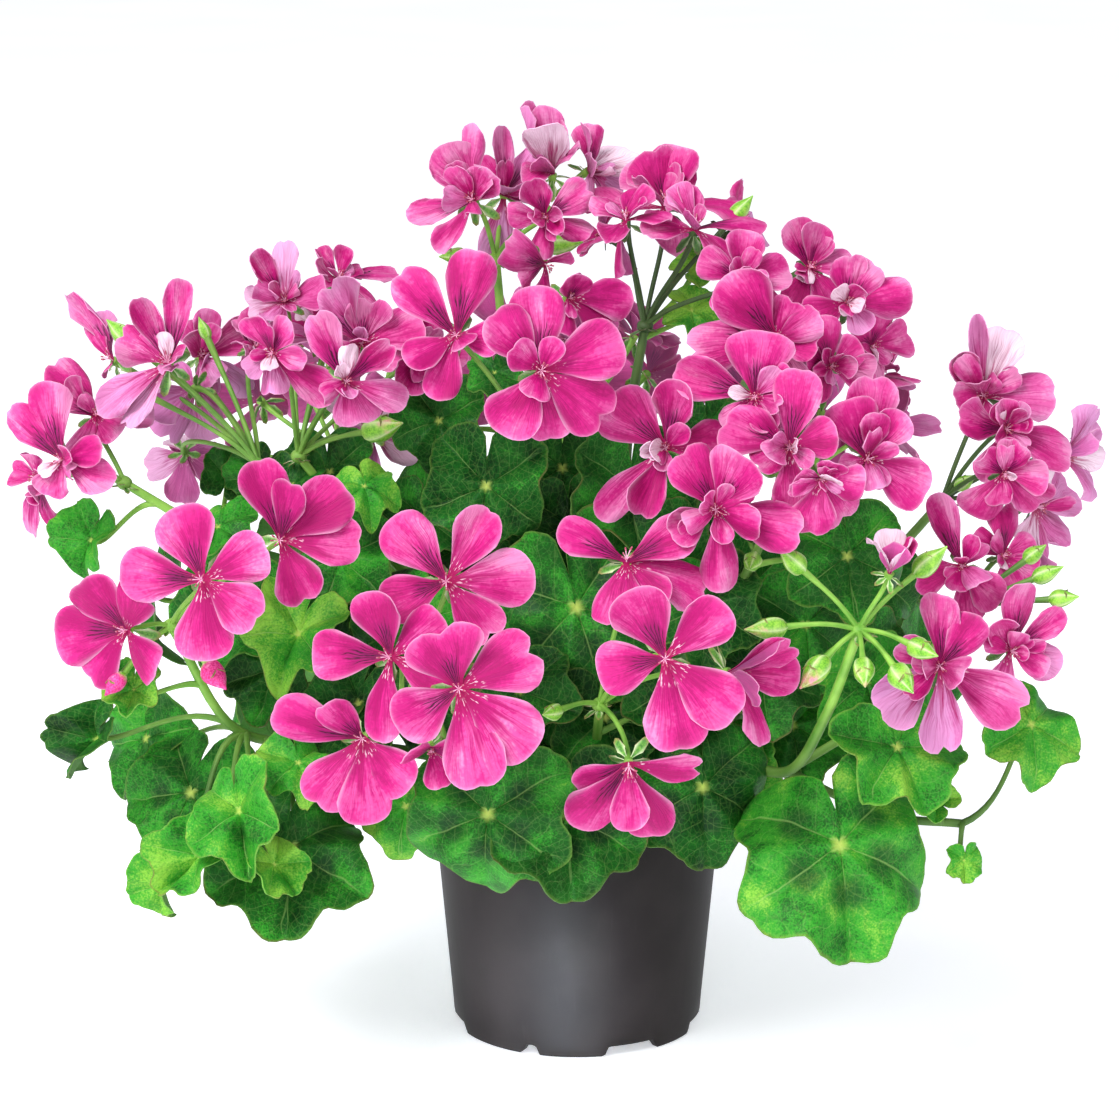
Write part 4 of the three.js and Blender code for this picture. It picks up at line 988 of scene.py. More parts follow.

# The layout in millimetres. A floret is its heart's place, azimuth and elevation, then its petals and
# the number of small inner ones. A petal is its angle, clockwise from the top as seen by someone that
# the floret faces, its length, width, lean towards that one, and tone, from 0, deep pink, through 1,
# lilac, to white. In place of its petals a floret may have a roll, a width, a cup from 0 to 1 and a
# tone for them all. A bud is its tip, its length and, where it shows colour, how pink it is. An umbel's
# stalks, sepals and bracts may carry a painted shade, as stems do, and its petals a ruffle other than
# the usual one.
UMBELS = {
    "far_left": {"hub": (-177, -25, 228), "shade": 0.25, "ruffle": 0.56, "florets": [
        (-197, -50, 242, -25, 12, [(-53, 30, 14, 15, 0.2), (-22, 31, 18, 15, 0.25), (72, 21, 13, 25, 0.05),
            (108, 23, 16, 8, 0.3), (-170, 15, 14, 20, 0.25)], 2),
        (-188, -22, 254, 20, 30, [(-28, 25, 19, 20, 0.1), (-66, 19, 12, 25, 0.05), (96, 23, 17, 5, 0.5),
            (150, 14, 12, 10, 0.3), (-150, 16, 12, 20, 0.3)], 1),
        (-211, -20, 229, -40, 5, [(-159, 26, 12, 0, 0.35), (166, 23, 9, 0, 0.3), (-85, 15, 11, 10, 0.2),
            (100, 12, 12, 20, 0.3), (-10, 12, 10, 30, 0.2)], 1),
    ], "buds": []},
    "upper_left": {"hub": (-124, -30, 236), "shade": 0.3, "ruffle": 0.56, "florets": [
        (-157, -38, 277, -5, 30, [(-24, 28, 12, 25, 0.15), (11, 33, 12, 22, 0.25), (-57, 23, 15, 20, 0.25),
            (-122, 33, 16, 0, 0.55), (-146, 30, 12, -10, 0.85)], 3),
        (-151, 0, 261, -150, -10, [(150, 24, 17, 10, 0.8), (100, 22, 14, 10, 0.7),
            (-150, 23, 16, 10, 0.85), (-60, 15, 12, 20, 0.6), (30, 15, 12, 20, 0.6)], 0),
        (-183, 0, 272, -50, 30, [(-50, 26, 10, 20, 0.5), (-42, 31, 9, 15, 0.4), (-60, 22, 9, 30, 0.2),
            (150, 9, 6, 30, 0.2)], 0),
        (-158, 25, 230, 170, -30, 0, 44, 0.5, 0.8, 3),
        (-150, 10, 272, 20, 25, [(15, 19, 13, 30, 0.4), (-20, 15, 11, 30, 0.3), (72, 24, 15, 15, 0.3),
            (112, 28, 9, 0, 0.7), (170, 15, 12, 10, 0.6)], 3),
        (-128, 6, 276, 30, 45, 0, 34, 0.4, 0.35, 3),
    ], "buds": [(-184, -10, 290, 15), (-148, -10, 291, 9), (-176, -24, 268, 13)]},
    "left_centre": {"hub": (-109, -22, 238), "shade": 0.3, "ruffle": 0.56, "florets": [
        (-114, -12, 297, -5, 35, [(-40, 24, 11, 30, 0.1), (-8, 21, 12, 45, 0.85), (75, 20, 17, 20, 0.4),
            (-110, 16, 17, 15, 0.9), (-160, 13, 12, 20, 0.6)], 4),
        (-94, 2, 304, 10, 50, [(82, 24, 11, 10, 0.3), (-38, 15, 8, 30, 0.1), (30, 13, 9, 40, 0.2),
            (130, 20, 10, 5, 0.3), (-100, 13, 10, 20, 0.3)], 4),
        (-115, -60, 285, -15, 10, [(-20, 17, 16, 25, 0.05), (30, 15, 13, 30, 0.3), (100, 13, 10, 30, 0.2),
            (178, 16, 13, 20, 0.5), (130, 28, 16, -5, 0.05)], 2),
        (-87, -76, 277, 8, 12, [(-27, 30, 15, 20, 0.2), (50, 27, 12, 22, 0.2), (108, 24, 13, 10, 0.4),
            (168, 17, 20, 5, 0.4), (-110, 11, 9, 20, 0.1), (5, 15, 8, 45, 1.4), (-20, 11, 7, 50, 1.4)], 2),
        (-83, -38, 285, 0, 15, [(-42, 27, 19, 15, 0.5), (8, 19, 20, 25, 0.3), (68, 26, 20, 12, 0.05),
            (120, 17, 13, 10, 0.2), (-120, 13, 13, 10, 0.3)], 2),
        (-83, 26, 238, 160, -10, 0, 46, 0.3, 0.95, 0), (-62, -16, 276, 20, 20, -20, 44, 0.25, 0.15, 2),
        (-101, 4, 281, -10, 50, 30, 40, 0.4, 0.35, 3),
    ], "buds": [(-66, -46, 256, 20, 0.12)]},
    "top": {"hub": (-32, -5, 313), "ruffle": 0.56, "florets": [
        (-40, -24, 338, -20, 25, [(-108, 27, 12, 5, 0.3), (-35, 25, 21, 30, 0.25), (-8, 27, 10, 35, 0.35),
            (-160, 25, 10, 15, 0.3), (60, 18, 13, 50, 0.2)], 5),
        (-29, 12, 336, 10, 35, [(45, 25, 17, 20, 0.6), (0, 27, 10, 45, 0.4), (-168, 29, 16, -10, 0.8),
            (110, 18, 13, 10, 0.5), (-60, 18, 13, 30, 0.4)], 4),
        (-10, -4, 346, -10, 72, [(180, 30, 20, 70, 1.12), (-80, 30, 11, 55, 0.4), (60, 22, 13, 70, 0.2),
            (0, 27, 16, 78, 0.4), (110, 18, 9, 60, 0.3)], 3),
        (4, 6, 346, 55, 30, [(-10, 20, 11, 40, 0.3), (20, 19, 12, 35, 0.25), (90, 22, 18, 20, 1.08),
            (150, 16, 15, 20, 0.8), (-90, 16, 10, 50, 0.3)], 3),
        (-13, -34, 333, 5, 15, [(-10, 17, 15, 25, 0), (60, 21, 15, 15, 0.15), (118, 19, 12, 5, 0.3),
            (-90, 16, 11, 30, 0.2), (180, 16, 11, 20, 0.2)], 4),
        (-13, -38, 316, 50, -25, [(-75, 22, 16, 10, 0.3), (-120, 16, 10, 5, 0.1), (172, 17, 9, 30, 0),
            (30, 11, 9, 30, 0.1)], 0),
    ], "buds": [(-56, -12, 315, 13), (2, -14, 321, 15)]},
    "top_right": {"hub": (26, -20, 289), "shade": 0.85, "florets": [
        (18, -44, 333, -20, 68, [(-60, 18, 12, 20, 0.2), (0, 17, 12, 30, 0.2), (180, 20, 13, 0, 0.2),
            (-110, 24, 11, -60, 0.1), (80, 17, 11, 15, 0.2)], 2),
        (34, -6, 333, 0, 78, [(-25, 24, 22, 60, 0.15), (30, 25, 22, 62, 0), (-88, 32, 17, 5, 0.15),
            (90, 32, 17, 12, 0.15), (180, 25, 20, -4, 0.25)], 5),
        (44, -40, 329, 20, 62, [(10, 19, 14, 40, 0.1), (85, 29, 16, 15, 0.15), (-90, 22, 14, 5, 0.2),
            (150, 20, 16, 0, 0.25), (118, 24, 14, -22, 0.75)], 3),
        (60, 8, 321, 60, 20, [(-40, 17, 13, 30, 0.2), (20, 22, 14, 30, 0.3), (90, 22, 16, 10, 0.85),
            (150, 19, 14, 10, 0.75), (-130, 19, 14, 10, 0.75)], 2),
        (10, 4, 321, -90, 25, 0, 28, 0.4, 0.2, 0),
        (61, -54, 312, 12, 25, [(-60, 18, 14, 25, 0.3), (10, 18, 16, 30, 0.25), (80, 19, 17, 20, 0.4),
            (140, 17, 13, 10, 0.2), (-140, 16, 13, 15, 0.3)], 5),
    ], "buds": [(68, -6, 338, 13)]},
    "centre_top": {"hub": (-22, -58, 257), "shade": 0.35, "ruffle": 0.24, "florets": [
        (-45, -94, 297, -5, 18, [(-44, 31, 16, 22, 0.2), (12, 32, 18, 18, 0.12), (98, 21, 14, 35, 0.2),
            (-165, 24, 14, 10, 0.1), (-122, 22, 14, 15, 0.15)], 1),
        (-14, -116, 288, 5, 8, [(-40, 29, 19, 18, 0.2), (0, 30, 20, 14, 0.15), (71, 31, 22, 12, 0.3),
            (129, 30, 22, 8, 0.25), (-149, 28, 21, 12, 0.35), (172, 26, 18, 0, 0.15)], 2),
        (-4, -62, 306, 30, 20, [(-30, 13, 11, 62, 0.1), (30, 13, 11, 60, 0.2), (92, 27, 16, 12, 0.2),
            (130, 22, 13, 5, 0.05), (-150, 18, 12, 20, 0.2)], 1),
    ], "buds": []},
    "right_upper": {"hub": (76, -40, 261), "shade": 0.7, "florets": [
        (73, -84, 294, -5, 12, [(-92, 34, 21, 10, 0.35), (-40, 31, 25, 22, 0.12), (20, 18, 15, 30, 0.1),
            (100, 18, 16, 25, 0.1), (160, 21, 16, 15, 0.2)], 4),
        (89, -24, 312, 10, 28, [(-25, 21, 15, 30, 0.3), (20, 18, 15, 35, 0.4), (90, 17, 15, 20, 0.5),
            (-150, 19, 15, 10, 0.05), (150, 17, 14, 10, 0.15)], 3),
        (101, -58, 304, 10, 12, [(-5, 19, 14, 25, 0.3), (38, 18, 14, 30, 0.45), (86, 25, 17, 15, 0.35),
            (150, 14, 13, 20, 0.7), (-115, 18, 17, 15, 0.2)], 5),
        (112, -36, 284, 30, 0, [(10, 14, 11, 30, 0.1), (-60, 14, 11, 30, 0), (70, 17, 16, 15, 0.35),
            (-130, 19, 17, 10, 0.4), (160, 16, 15, 10, 0.4)], 3),
        (64, -108, 277, -5, 10, [(-72, 31, 17, 10, 0.3), (3, 25, 25, 25, 0.25), (75, 17, 15, 20, 0.25),
            (170, 16, 14, 10, 0.2), (-140, 16, 14, 10, 0.3)], 4),
        (94, -72, 282, 15, 10, [(-20, 19, 19, 25, 0.12), (-80, 17, 16, 20, 0.15), (60, 14, 13, 30, 0),
            (110, 17, 15, 15, 0.3), (-150, 14, 14, 10, 0.2)], 4),
    ], "buds": [(66, -44, 316, 10), (96, -16, 322, 10)]},
    "right_middle": {"hub": (72, -70, 221), "shade": 0.3, "florets": [
        (32, -98, 256, -8, 12, [(-50, 28, 24, 18, 0), (14, 31, 17, 20, 0.05), (85, 23, 18, 15, 0),
            (-165, 28, 14, 10, 0.1), (-139, 36, 14, 5, 0.3), (-105, 13, 6, 40, 1.3),
            (-125, 11, 5, 45, 1.3)], 3),
        (49, -132, 240, 0, 8, [(-29, 25, 19, 18, 0.08), (32, 26, 23, 20, 0.2), (104, 33, 19, 8, 0.2),
            (172, 30, 14, 5, 0.35), (-115, 20, 15, 15, 0.12)], 6),
        (76, -118, 260, 0, 12, [(-60, 26, 22, 16, 0.2), (10, 28, 19, 20, 0.15), (75, 19, 16, 20, 0),
            (178, 26, 16, 8, 0.2), (-130, 15, 13, 20, 0.2)], 4),
        (87, -130, 251, 8, -5, [(-80, 12, 11, 40, 0.2), (20, 13, 12, 40, 0.1), (100, 16, 15, 25, 0),
            (150, 21, 19, 5, 0.15), (-170, 21, 18, 10, 0.2)], 5),
        (105, -108, 254, 12, 8, [(-24, 24, 19, 18, 0.3), (30, 22, 16, 20, 0.25), (3, 31, 20, 5, 0.35),
            (122, 26, 22, 8, 0.25), (-140, 18, 14, 10, 0)], 5),
    ], "buds": [(62, -118, 214, 13)]},
    "far_right": {"hub": (143, -20, 220), "shade": 0.8, "ruffle": 0.56, "florets": [
        (158, -18, 261, -5, 20, [(-42, 21, 14, 20, 0.1), (15, 29, 19, 25, 1.05), (-8, 36, 9, 25, 0.5),
            (82, 28, 20, 10, 0.4), (170, 16, 14, 20, 0.2)], 4),
        (164, -40, 252, 12, 15, [(-85, 23, 17, 20, 0.05), (-20, 14, 13, 40, 0.1), (60, 13, 12, 40, 0.1),
            (113, 28, 22, 12, 0.3), (-165, 21, 16, 10, 0.12)], 6),
        (162, -56, 238, 5, 0, [(30, 16, 13, 30, 0), (-50, 16, 13, 30, 0.1), (90, 17, 15, 10, 0.3),
            (140, 20, 17, 10, 0.3), (-150, 19, 16, 20, 0.2)], 3),
        (190, -8, 235, 80, 8, [(-40, 19, 13, 60, 0.5), (20, 26, 16, 50, 0.8), (60, 26, 15, 55, 0.6),
            (105, 26, 16, 55, 1.2), (150, 23, 15, 50, 0.6)], 0),
        (178, -28, 219, 60, 0, [(20, 16, 16, 30, 1.2), (-140, 21, 15, 15, 0.95), (80, 26, 20, 15, 0.55),
            (180, 28, 21, 10, 0.5), (130, 26, 19, 5, 0.5)], 1),
    ], "buds": [(155, -28, 232, 11)]},
    "lower_right": {"hub": (144, -80, 188), "shade": 0.5, "florets": [
        (133, -116, 178, -8, 8, [(5, 28, 16, 16, 0.25), (42, 23, 15, 25, 0.25), (-58, 21, 13, 20, 0.4),
            (115, 36, 21, 8, 0.5), (172, 33, 16, 5, 0.75), (-125, 29, 21, 8, 0.85)], 3),
        (161, -98, 179, 15, 8, [(8, 28, 16, 14, 0.15), (54, 25, 11, 15, 0.1), (-40, 19, 13, 20, 0.3),
            (108, 21, 15, 10, 0.6), (-160, 19, 14, 10, 0.5)], 6),
        (143, -92, 210, -8, 12, [(-26, 28, 12, 12, 0.3), (35, 13, 9, 30, 0), (128, 19, 15, 12, 0.3),
            (165, 21, 13, 5, 0.2), (-105, 19, 15, 10, 0.3)], 4),
        (162, -58, 206, 15, 20, [(8, 21, 14, 15, 0.12), (-50, 14, 11, 20, 0.2), (70, 14, 12, 20, 0.4),
            (170, 14, 11, 15, 0.3), (120, 15, 13, 10, 0.4)], 2),
    ], "buds": [(182, -84, 208, 13), (188, -94, 199, 13), (178, -70, 214, 12)]},
    "bud": {"hub": (103, -115, 191), "florets": [
        (113, -122, 214, 15, 62, [(10, 16, 13, 74, 1.3), (80, 16, 13, 70, 0), (150, 16, 12, 70, 1.3),
            (215, 16, 12, 70, 0.05), (290, 16, 13, 74, 1.3)], 0),
    ], "buds": [
        (72, -132, 226, 15), (135, -112, 222, 16), (60, -130, 195, 16, 0.15), (130, -143, 188, 15),
        (80, -138, 175, 17, 0.18), (103, -146, 177, 15, 0.1), (121, -150, 175, 17, 0.1),
    ]},
    "left_front": {"hub": (-154, -80, 184), "ruffle": 0.24, "florets": [
        (-138, -114, 210, -12, 12, [(-90, 31, 20, 12, 0.1), (-20, 28, 22, 14, 0.1), (62, 29, 19, 12, 0.25),
            (122, 28, 19, 10, 0.2), (176, 30, 20, 5, 0.1)], 0),
        (-111, -92, 220, -5, 10, [(-10, 32, 18, 22, 0), (17, 27, 14, 35, -0.1), (52, 32, 21, 15, 0),
            (92, 31, 19, 8, 0.05), (154, 26, 19, 5, 0.2)], 0),
        (-168, -98, 187, -30, 5, [(-97, 30, 23, 25, 0), (-38, 26, 20, 30, -0.05), (30, 22, 17, 40, 0),
            (125, 26, 16, 35, 0), (-142, 25, 19, 20, 0.1)], 0),
    ], "buds": [(-130, -112, 167, 17, 1), (-177, -106, 163, 13, 0.9)]},
    "centre_left_front": {"hub": (-66, -108, 155), "ruffle": 0.24, "florets": [
        (-48, -130, 213, -5, 12, [(-113, 25, 18, 25, 0.15), (-40, 30, 20, 8, 0.35), (33, 31, 17, 5, 0.5),
            (85, 32, 20, 8, 0.45), (141, 28, 18, 15, 0.3)], 0),
        (-43, -160, 181, 0, 8, [(-121, 27, 21, 18, 0.35), (-20, 26, 28, 28, 0.05), (61, 31, 23, 10, 0.3),
            (128, 35, 23, 5, 0.4), (168, 37, 23, 0, 0.3)], 0),
        (-68, -138, 187, -20, 10, [(-92, 31, 19, 12, 0.2), (-10, 27, 20, 25, 0), (50, 26, 17, 15, 0.2),
            (110, 27, 18, 10, 0.2), (-172, 32, 15, 5, 0.1)], 0),
        (-79, -132, 155, -5, 5, [(-72, 34, 17, 30, 0), (-34, 26, 13, 55, 0.05), (135, 26, 19, 20, 0.2),
            (172, 32, 20, 12, 0.35), (-149, 31, 21, 8, 0.3)], 0),
        (-54, -142, 154, 10, -20, [(-60, 16, 12, 55, 0.05), (60, 17, 12, 60, 0.35),
            (160, 16, 11, 50, 0.15)], 0),
    ], "buds": []},
    "centre_right_front": {"hub": (8, -90, 156), "ruffle": 0.24, "florets": [
        (17, -134, 221, 0, 48, [(-70, 28, 14, 25, 0.25), (70, 27, 18, 25, 0.35), (102, 31, 17, -5, 0.35),
            (190, 24, 21, 0, 0.2), (145, 22, 16, -10, 0.3)], 0),
        (30, -168, 194, 0, 8, [(-102, 24, 20, 15, 0.2), (-24, 31, 21, 15, 0.1), (48, 30, 18, 12, 0.25),
            (130, 33, 21, 8, 0.25), (172, 34, 22, 2, 0.3)], 0),
        (54, -138, 181, 60, 5, [(-20, 27, 17, 62, 0.05), (40, 27, 17, 66, 0.1), (110, 26, 16, 60, 0.15),
            (180, 29, 12, 35, 0.3), (-110, 24, 14, 60, 0.1)], 0),
        (18, -138, 147, 0, -18, [(-122, 23, 15, 5, 0.35), (-147, 33, 19, 12, 0.15), (166, 35, 20, 10, 0),
            (180, 25, 14, 38, 0.3), (99, 27, 14, 5, 0.35)], 0),
    ], "buds": [(-14, -120, 160, 12)]},
    "back_left": {"hub": (-98, 62, 216), "florets": [
        (-132, 78, 242, -140, 25, 0, 54, 0.15, 0.25, 0), (-102, 104, 238, -175, 20, 20, 54, 0.2, 0.15, 2),
        (-72, 88, 246, 160, 40, 0, 50, 0.3, 0.35, 3), (-102, 66, 260, -170, 60, 0, 48, 0.45, 0.2, 4),
        (-120, 86, 262, -150, 45, 30, 46, 0.3, 0.1, 3), (-76, 60, 264, 170, 65, 10, 44, 0.4, 0.3, 4),
    ], "buds": [(-148, 62, 222, 14)]},
    "back_centre": {"hub": (-5, 84, 222), "florets": [
        (-32, 114, 246, -160, 25, 0, 54, 0.15, 0.2, 0), (2, 132, 240, 180, 15, 20, 56, 0.15, 0.3, 0),
        (30, 110, 248, 150, 30, 0, 52, 0.3, 0.1, 3), (-2, 94, 264, 175, 60, 0, 48, 0.45, 0.3, 4),
        (-26, 92, 268, -150, 50, 20, 46, 0.3, 0.15, 3), (24, 86, 268, 140, 55, 0, 44, 0.4, 0.35, 4),
    ], "buds": [(42, 100, 224, 14)]},
    "back_right": {"hub": (96, 58, 214), "florets": [
        (72, 94, 242, 165, 25, 0, 54, 0.2, 0.2, 0), (104, 104, 232, 170, 10, 20, 54, 0.15, 0.35, 0),
        (128, 72, 234, 130, 25, 0, 50, 0.3, 0.15, 3), (98, 66, 258, 160, 60, 0, 46, 0.45, 0.3, 4),
        (82, 76, 262, 170, 50, 20, 46, 0.3, 0.1, 3), (120, 56, 256, 110, 55, 0, 44, 0.4, 0.3, 4),
    ], "buds": [(76, 84, 212, 14)]},
}
USUAL_RUFFLE = 0.42
CALM_RUFFLE = 0.24


def petal_tree():
    """A petal with a narrow claw and a broad round end on each point of the bed."""
    tree, given = start_tree(
        "petals", Rows="Int", Columns="Int", Thickness="Float", Ruffle="Float", Pleat="Float",
        Tip_drop="Float", Material="Material",
    )
    petals = spread_blades(tree, given["Geometry"], given["Rows"], given["Columns"])
    across = (held(tree, "across") * (math.pi / 2)).sine()
    along, reach, breadth, lean, seed = all_held(tree, "along", "reach", "breadth", "lean", "seed")
    slope = abs(across)
    uneven = wavy(across * 1.3, along * 1.3, seed + 40)
    spread = curve_through(along, PETAL_OUTLINE) * (1 + 0.35 * uneven * along)
    aside = breadth * (spread * across + held(tree, "skew") * along * along)
    cap = 1 - (1 - slope ** 2.4).at_least(0.0) ** 0.42
    notch = held(tree, "notch") * slope.smooth(0.40, 0.0) * along * along
    ahead = reach * (along - given["Tip_drop"] * cap * along * along - notch * along)
    wave = wavy(across * 1.1, along * 1.5, seed) * given["Ruffle"] * along * along
    pleat = wavy(across * 3.4, along * 0.5, seed + 20) * given["Pleat"] * along.smooth(0.1, 0.7)
    dish = held(tree, "dish") * aside * aside / breadth
    twist = held(tree, "twist") * across * along * breadth
    level = lean.cosine()
    steep = lean.sine()
    bow = held(tree, "curl") * reach * along * along
    lift = reach * (wave + pleat) + dish + twist
    forward = ahead * level + bow * steep - lift * steep * 0.6
    rise = ahead * steep - bow * level + lift * (0.4 + 0.6 * level)
    petals = placed(petals, forward, aside, rise)
    petals = keep(petals, "fan", aside / (ahead + 0.0012))
    petals = keep(petals, "across", across)
    return end_tree(thickened(petals, given["Thickness"]), given["Material"])


def petal_finish():
    """Satin pink with fine darker veins, a pale rim and bold dark feathering on the upper two."""
    material, tree, place = new_material("petal")
    across, along, fan, seed = all_seen(tree, "across", "along", "fan", "seed")
    under, tone, mark = all_seen(tree, "under", "tone", "mark")
    slope = abs(across)
    mottle = grain(place, 700.0)
    ray = fan + wavy(across * 1.5, along * 3.0, seed) * 0.12
    coarse = abs(wavy(ray * 9, along * 0.6, seed + 3))
    fine = abs(wavy(ray * 26, along * 1.5, seed + 9, detail=1.5))
    veins = (coarse.smooth(0.05, 0.0) * 0.7 + fine.smooth(0.08, 0.0) * 0.7) * along.smooth(1.25, 0.30)
    cloud = grain(vector_of(across * 0.9, along * 1.2, seed + 30))
    light = tone * 0.85 + along * 0.58 + (cloud - 0.5) * 2.6 + (mottle - 0.5) * 0.6 - 0.05 - 0.20 * veins
    flame = grain(vector_of(ray * 7, seed, 0.0), detail=1.0) * 1.7 - 0.46
    flame = (flame - along).smooth(-0.10, 0.16) * (0.65 + 0.35 * fine.smooth(0.16, 0.0))
    rim = (slope ** 36).at_least(along ** 60) * along.smooth(0.15, 0.5)
    border = (slope ** 8).at_least(along ** 14)
    spots = grain(vector_of(ray * 14, along * 12.0, seed), detail=1.0).smooth(0.60, 0.68)
    spots = spots * abs(along - 0.20).smooth(0.13, 0.04) * (1 - mark)
    off = abs(ray + wavy(across * 3.0, along * 7.0, seed) * 0.09)
    ragged = along + wavy(ray * 5, seed, 0.0) * 0.45
    feather = fine.smooth(0.06, 0.0) * off.smooth(0.34, 0.20) * ragged.smooth(0.50, 0.25) * 0.8
    for middle, fork, end in MARK_STROKES:
        stroke = abs(off - middle - fork * (along - 0.25).at_least(0.0)) / (0.024 - 0.020 * along)
        feather = feather.at_least(stroke.smooth(1.25, 0.45) * ragged.smooth(end, end - 0.12))
    feather = feather * along.smooth(0.06, 0.14) * (0.75 + 0.25 * mottle.smooth(0.35, 0.6))
    halo = off.smooth(0.40, 0.04) * along.smooth(0.62, 0.34)
    pale = tone.smooth(1.0, 1.25)
    pink = painted(
        "ae0266",
        (light.smooth(0.0, 0.40), "cb1a7e"),
        (light.smooth(0.40, 0.72), "d94c98"),
        (light.smooth(0.72, 1.15), "e586b9"),
        (tone.smooth(0.45, 1.0) * (0.40 + 0.4 * cloud), "d8a2d8"),
        (pale * 0.85, "fdeaf4"),
        (veins * 0.62, "a00262"),
        (flame * 0.88, "a80262"),
        (border * 0.12, "dd86c8"),
        (rim * 0.50, "f0c0de"),
        (along.smooth(0.34, 0.06) * 0.8, "a0024c"),
        (spots * 0.75, "fbd3e6"),
        (halo * mark * (0.40 + 0.5 * fine.smooth(0.14, 0.0)), "8a0460"),
        (feather * mark * 0.92, "2c021b"),
        (under * (0.40 - 0.30 * pale), "dd7cc4"),
    )
    normal = bumped(mottle * 0.35 - veins * 0.9 - 0.5 * fine.smooth(0.12, 0.0), 0.35, 0.00045)
    skin = principled(
        pink, 0.46 + 0.15 * mottle, normal, Specular_IOR_Level=0.24, Sheen_Weight=0.04, Sheen_Roughness=0.4,
    )
    set_surface(glowing(skin, PETAL_GLOW, pink, normal))
    return material


PETALS = petal_tree()
PETAL_MATERIAL = petal_finish()

# The sepals and the small bracts: narrow green blades with a pale rim, darkened by their umbel's painted
# shade, which they hold as their tone.
sepal_material, tree, place = new_material("sepal")
fuzz = grain(place, 1300.0)
sepal_green = painted(
    "3c7a2c", (fuzz.smooth(0.3, 0.7), "6ba83c"), (abs(seen(tree, "across")) ** 4 * 0.85, "dbe8b8"),
    (seen(tree, "along").smooth(0.8, 1.0) * 0.5, "a5694f"), (seen(tree, "tone") * 0.8, "26332a"),
)
set_surface(principled(sepal_green, 0.5 + 0.1 * fuzz, bumped(fuzz, 0.3, 0.0003), Specular_IOR_Level=0.4))

# The stamens: pale pink threads, each with a small dark red anther at its tip.
stamen_material, tree, place = new_material("stamen")
fuzz = grain(place, 2500.0, 1.0)
thread = painted(
    "f6b9d8", (seen(tree, "along").smooth(0.78, 0.84), "a8264f"), (fuzz.smooth(0.4, 0.7) * 0.3, "ffe9f3"),
)
set_surface(principled(thread, 0.5 + 0.2 * fuzz, bumped(fuzz, 0.2, 0.0002)))

# The buds: downy green spindles whose ribs are the rims of the sepals; a ripe one shows pink.
bud_material, tree, place = new_material("bud")
fuzz = grain(place, 1500.0)
patch = grain(place, 260.0)
ripe = (seen(tree, "flush") * 1.6 + patch * 0.5 - 0.35).smooth(0.02, 0.35)
bud_green = painted(
    "559a20", (fuzz.smooth(0.3, 0.7), "86c236"), (patch.smooth(0.45, 0.65) * 0.4, "b0de5c"),
    (seen(tree, "rib") ** 3 * 0.6, "e3edba"),
    (ripe, painted("c8086f", (fuzz.smooth(0.35, 0.65), "ea4e9c"))),
    (ripe * patch.smooth(0.55, 0.7) * 0.5, "f5a3cc"),
)
set_surface(principled(bud_green, 0.48 + 0.15 * fuzz, bumped(fuzz, 0.4, 0.0003), Specular_IOR_Level=0.4))

# How many of each small part there are. A shape is the radii from root to tip, in millimetres, or for a
# bud and a knob in shares of the greatest.
STAMENS = 7
SEPALS = 5
BUD_SEPALS = 4
SEPAL_THICKNESS = 0.0003
BRACTS = 7
STAMEN_SHAPE = [0.3, 0.2, 0.17, 0.16, 0.17, 0.16, 0.36, 0.30]
PEDICEL_SHAPE = [PEDICEL_RADIUS + 0.2] + [PEDICEL_RADIUS] * 7 + [0.95, 1.2, CALYX_RADIUS]
BUD_STALK_SHAPE = [PEDICEL_RADIUS + 0.2, PEDICEL_RADIUS, PEDICEL_RADIUS, 1.4]
BUD_STEPS = 44
BUD_SHAPE = [0.35, 0.76, 0.95, 1.0, 0.98, 0.88, 0.70, 0.48, 0.25, 0.06]
BUD_FATNESS = 0.255
KNOB_RADIUS = 3.2
KNOB_SHAPE = [0.1, 0.6, 0.85, 0.97, 1.0, 0.97, 0.85, 0.6, 0.1]
LONGEST_SEPAL = 11
LONGEST_WHITE = 14
WHITE_CHANCE = 0.18
WHITE = 1.3
UMBEL_SEED = 300


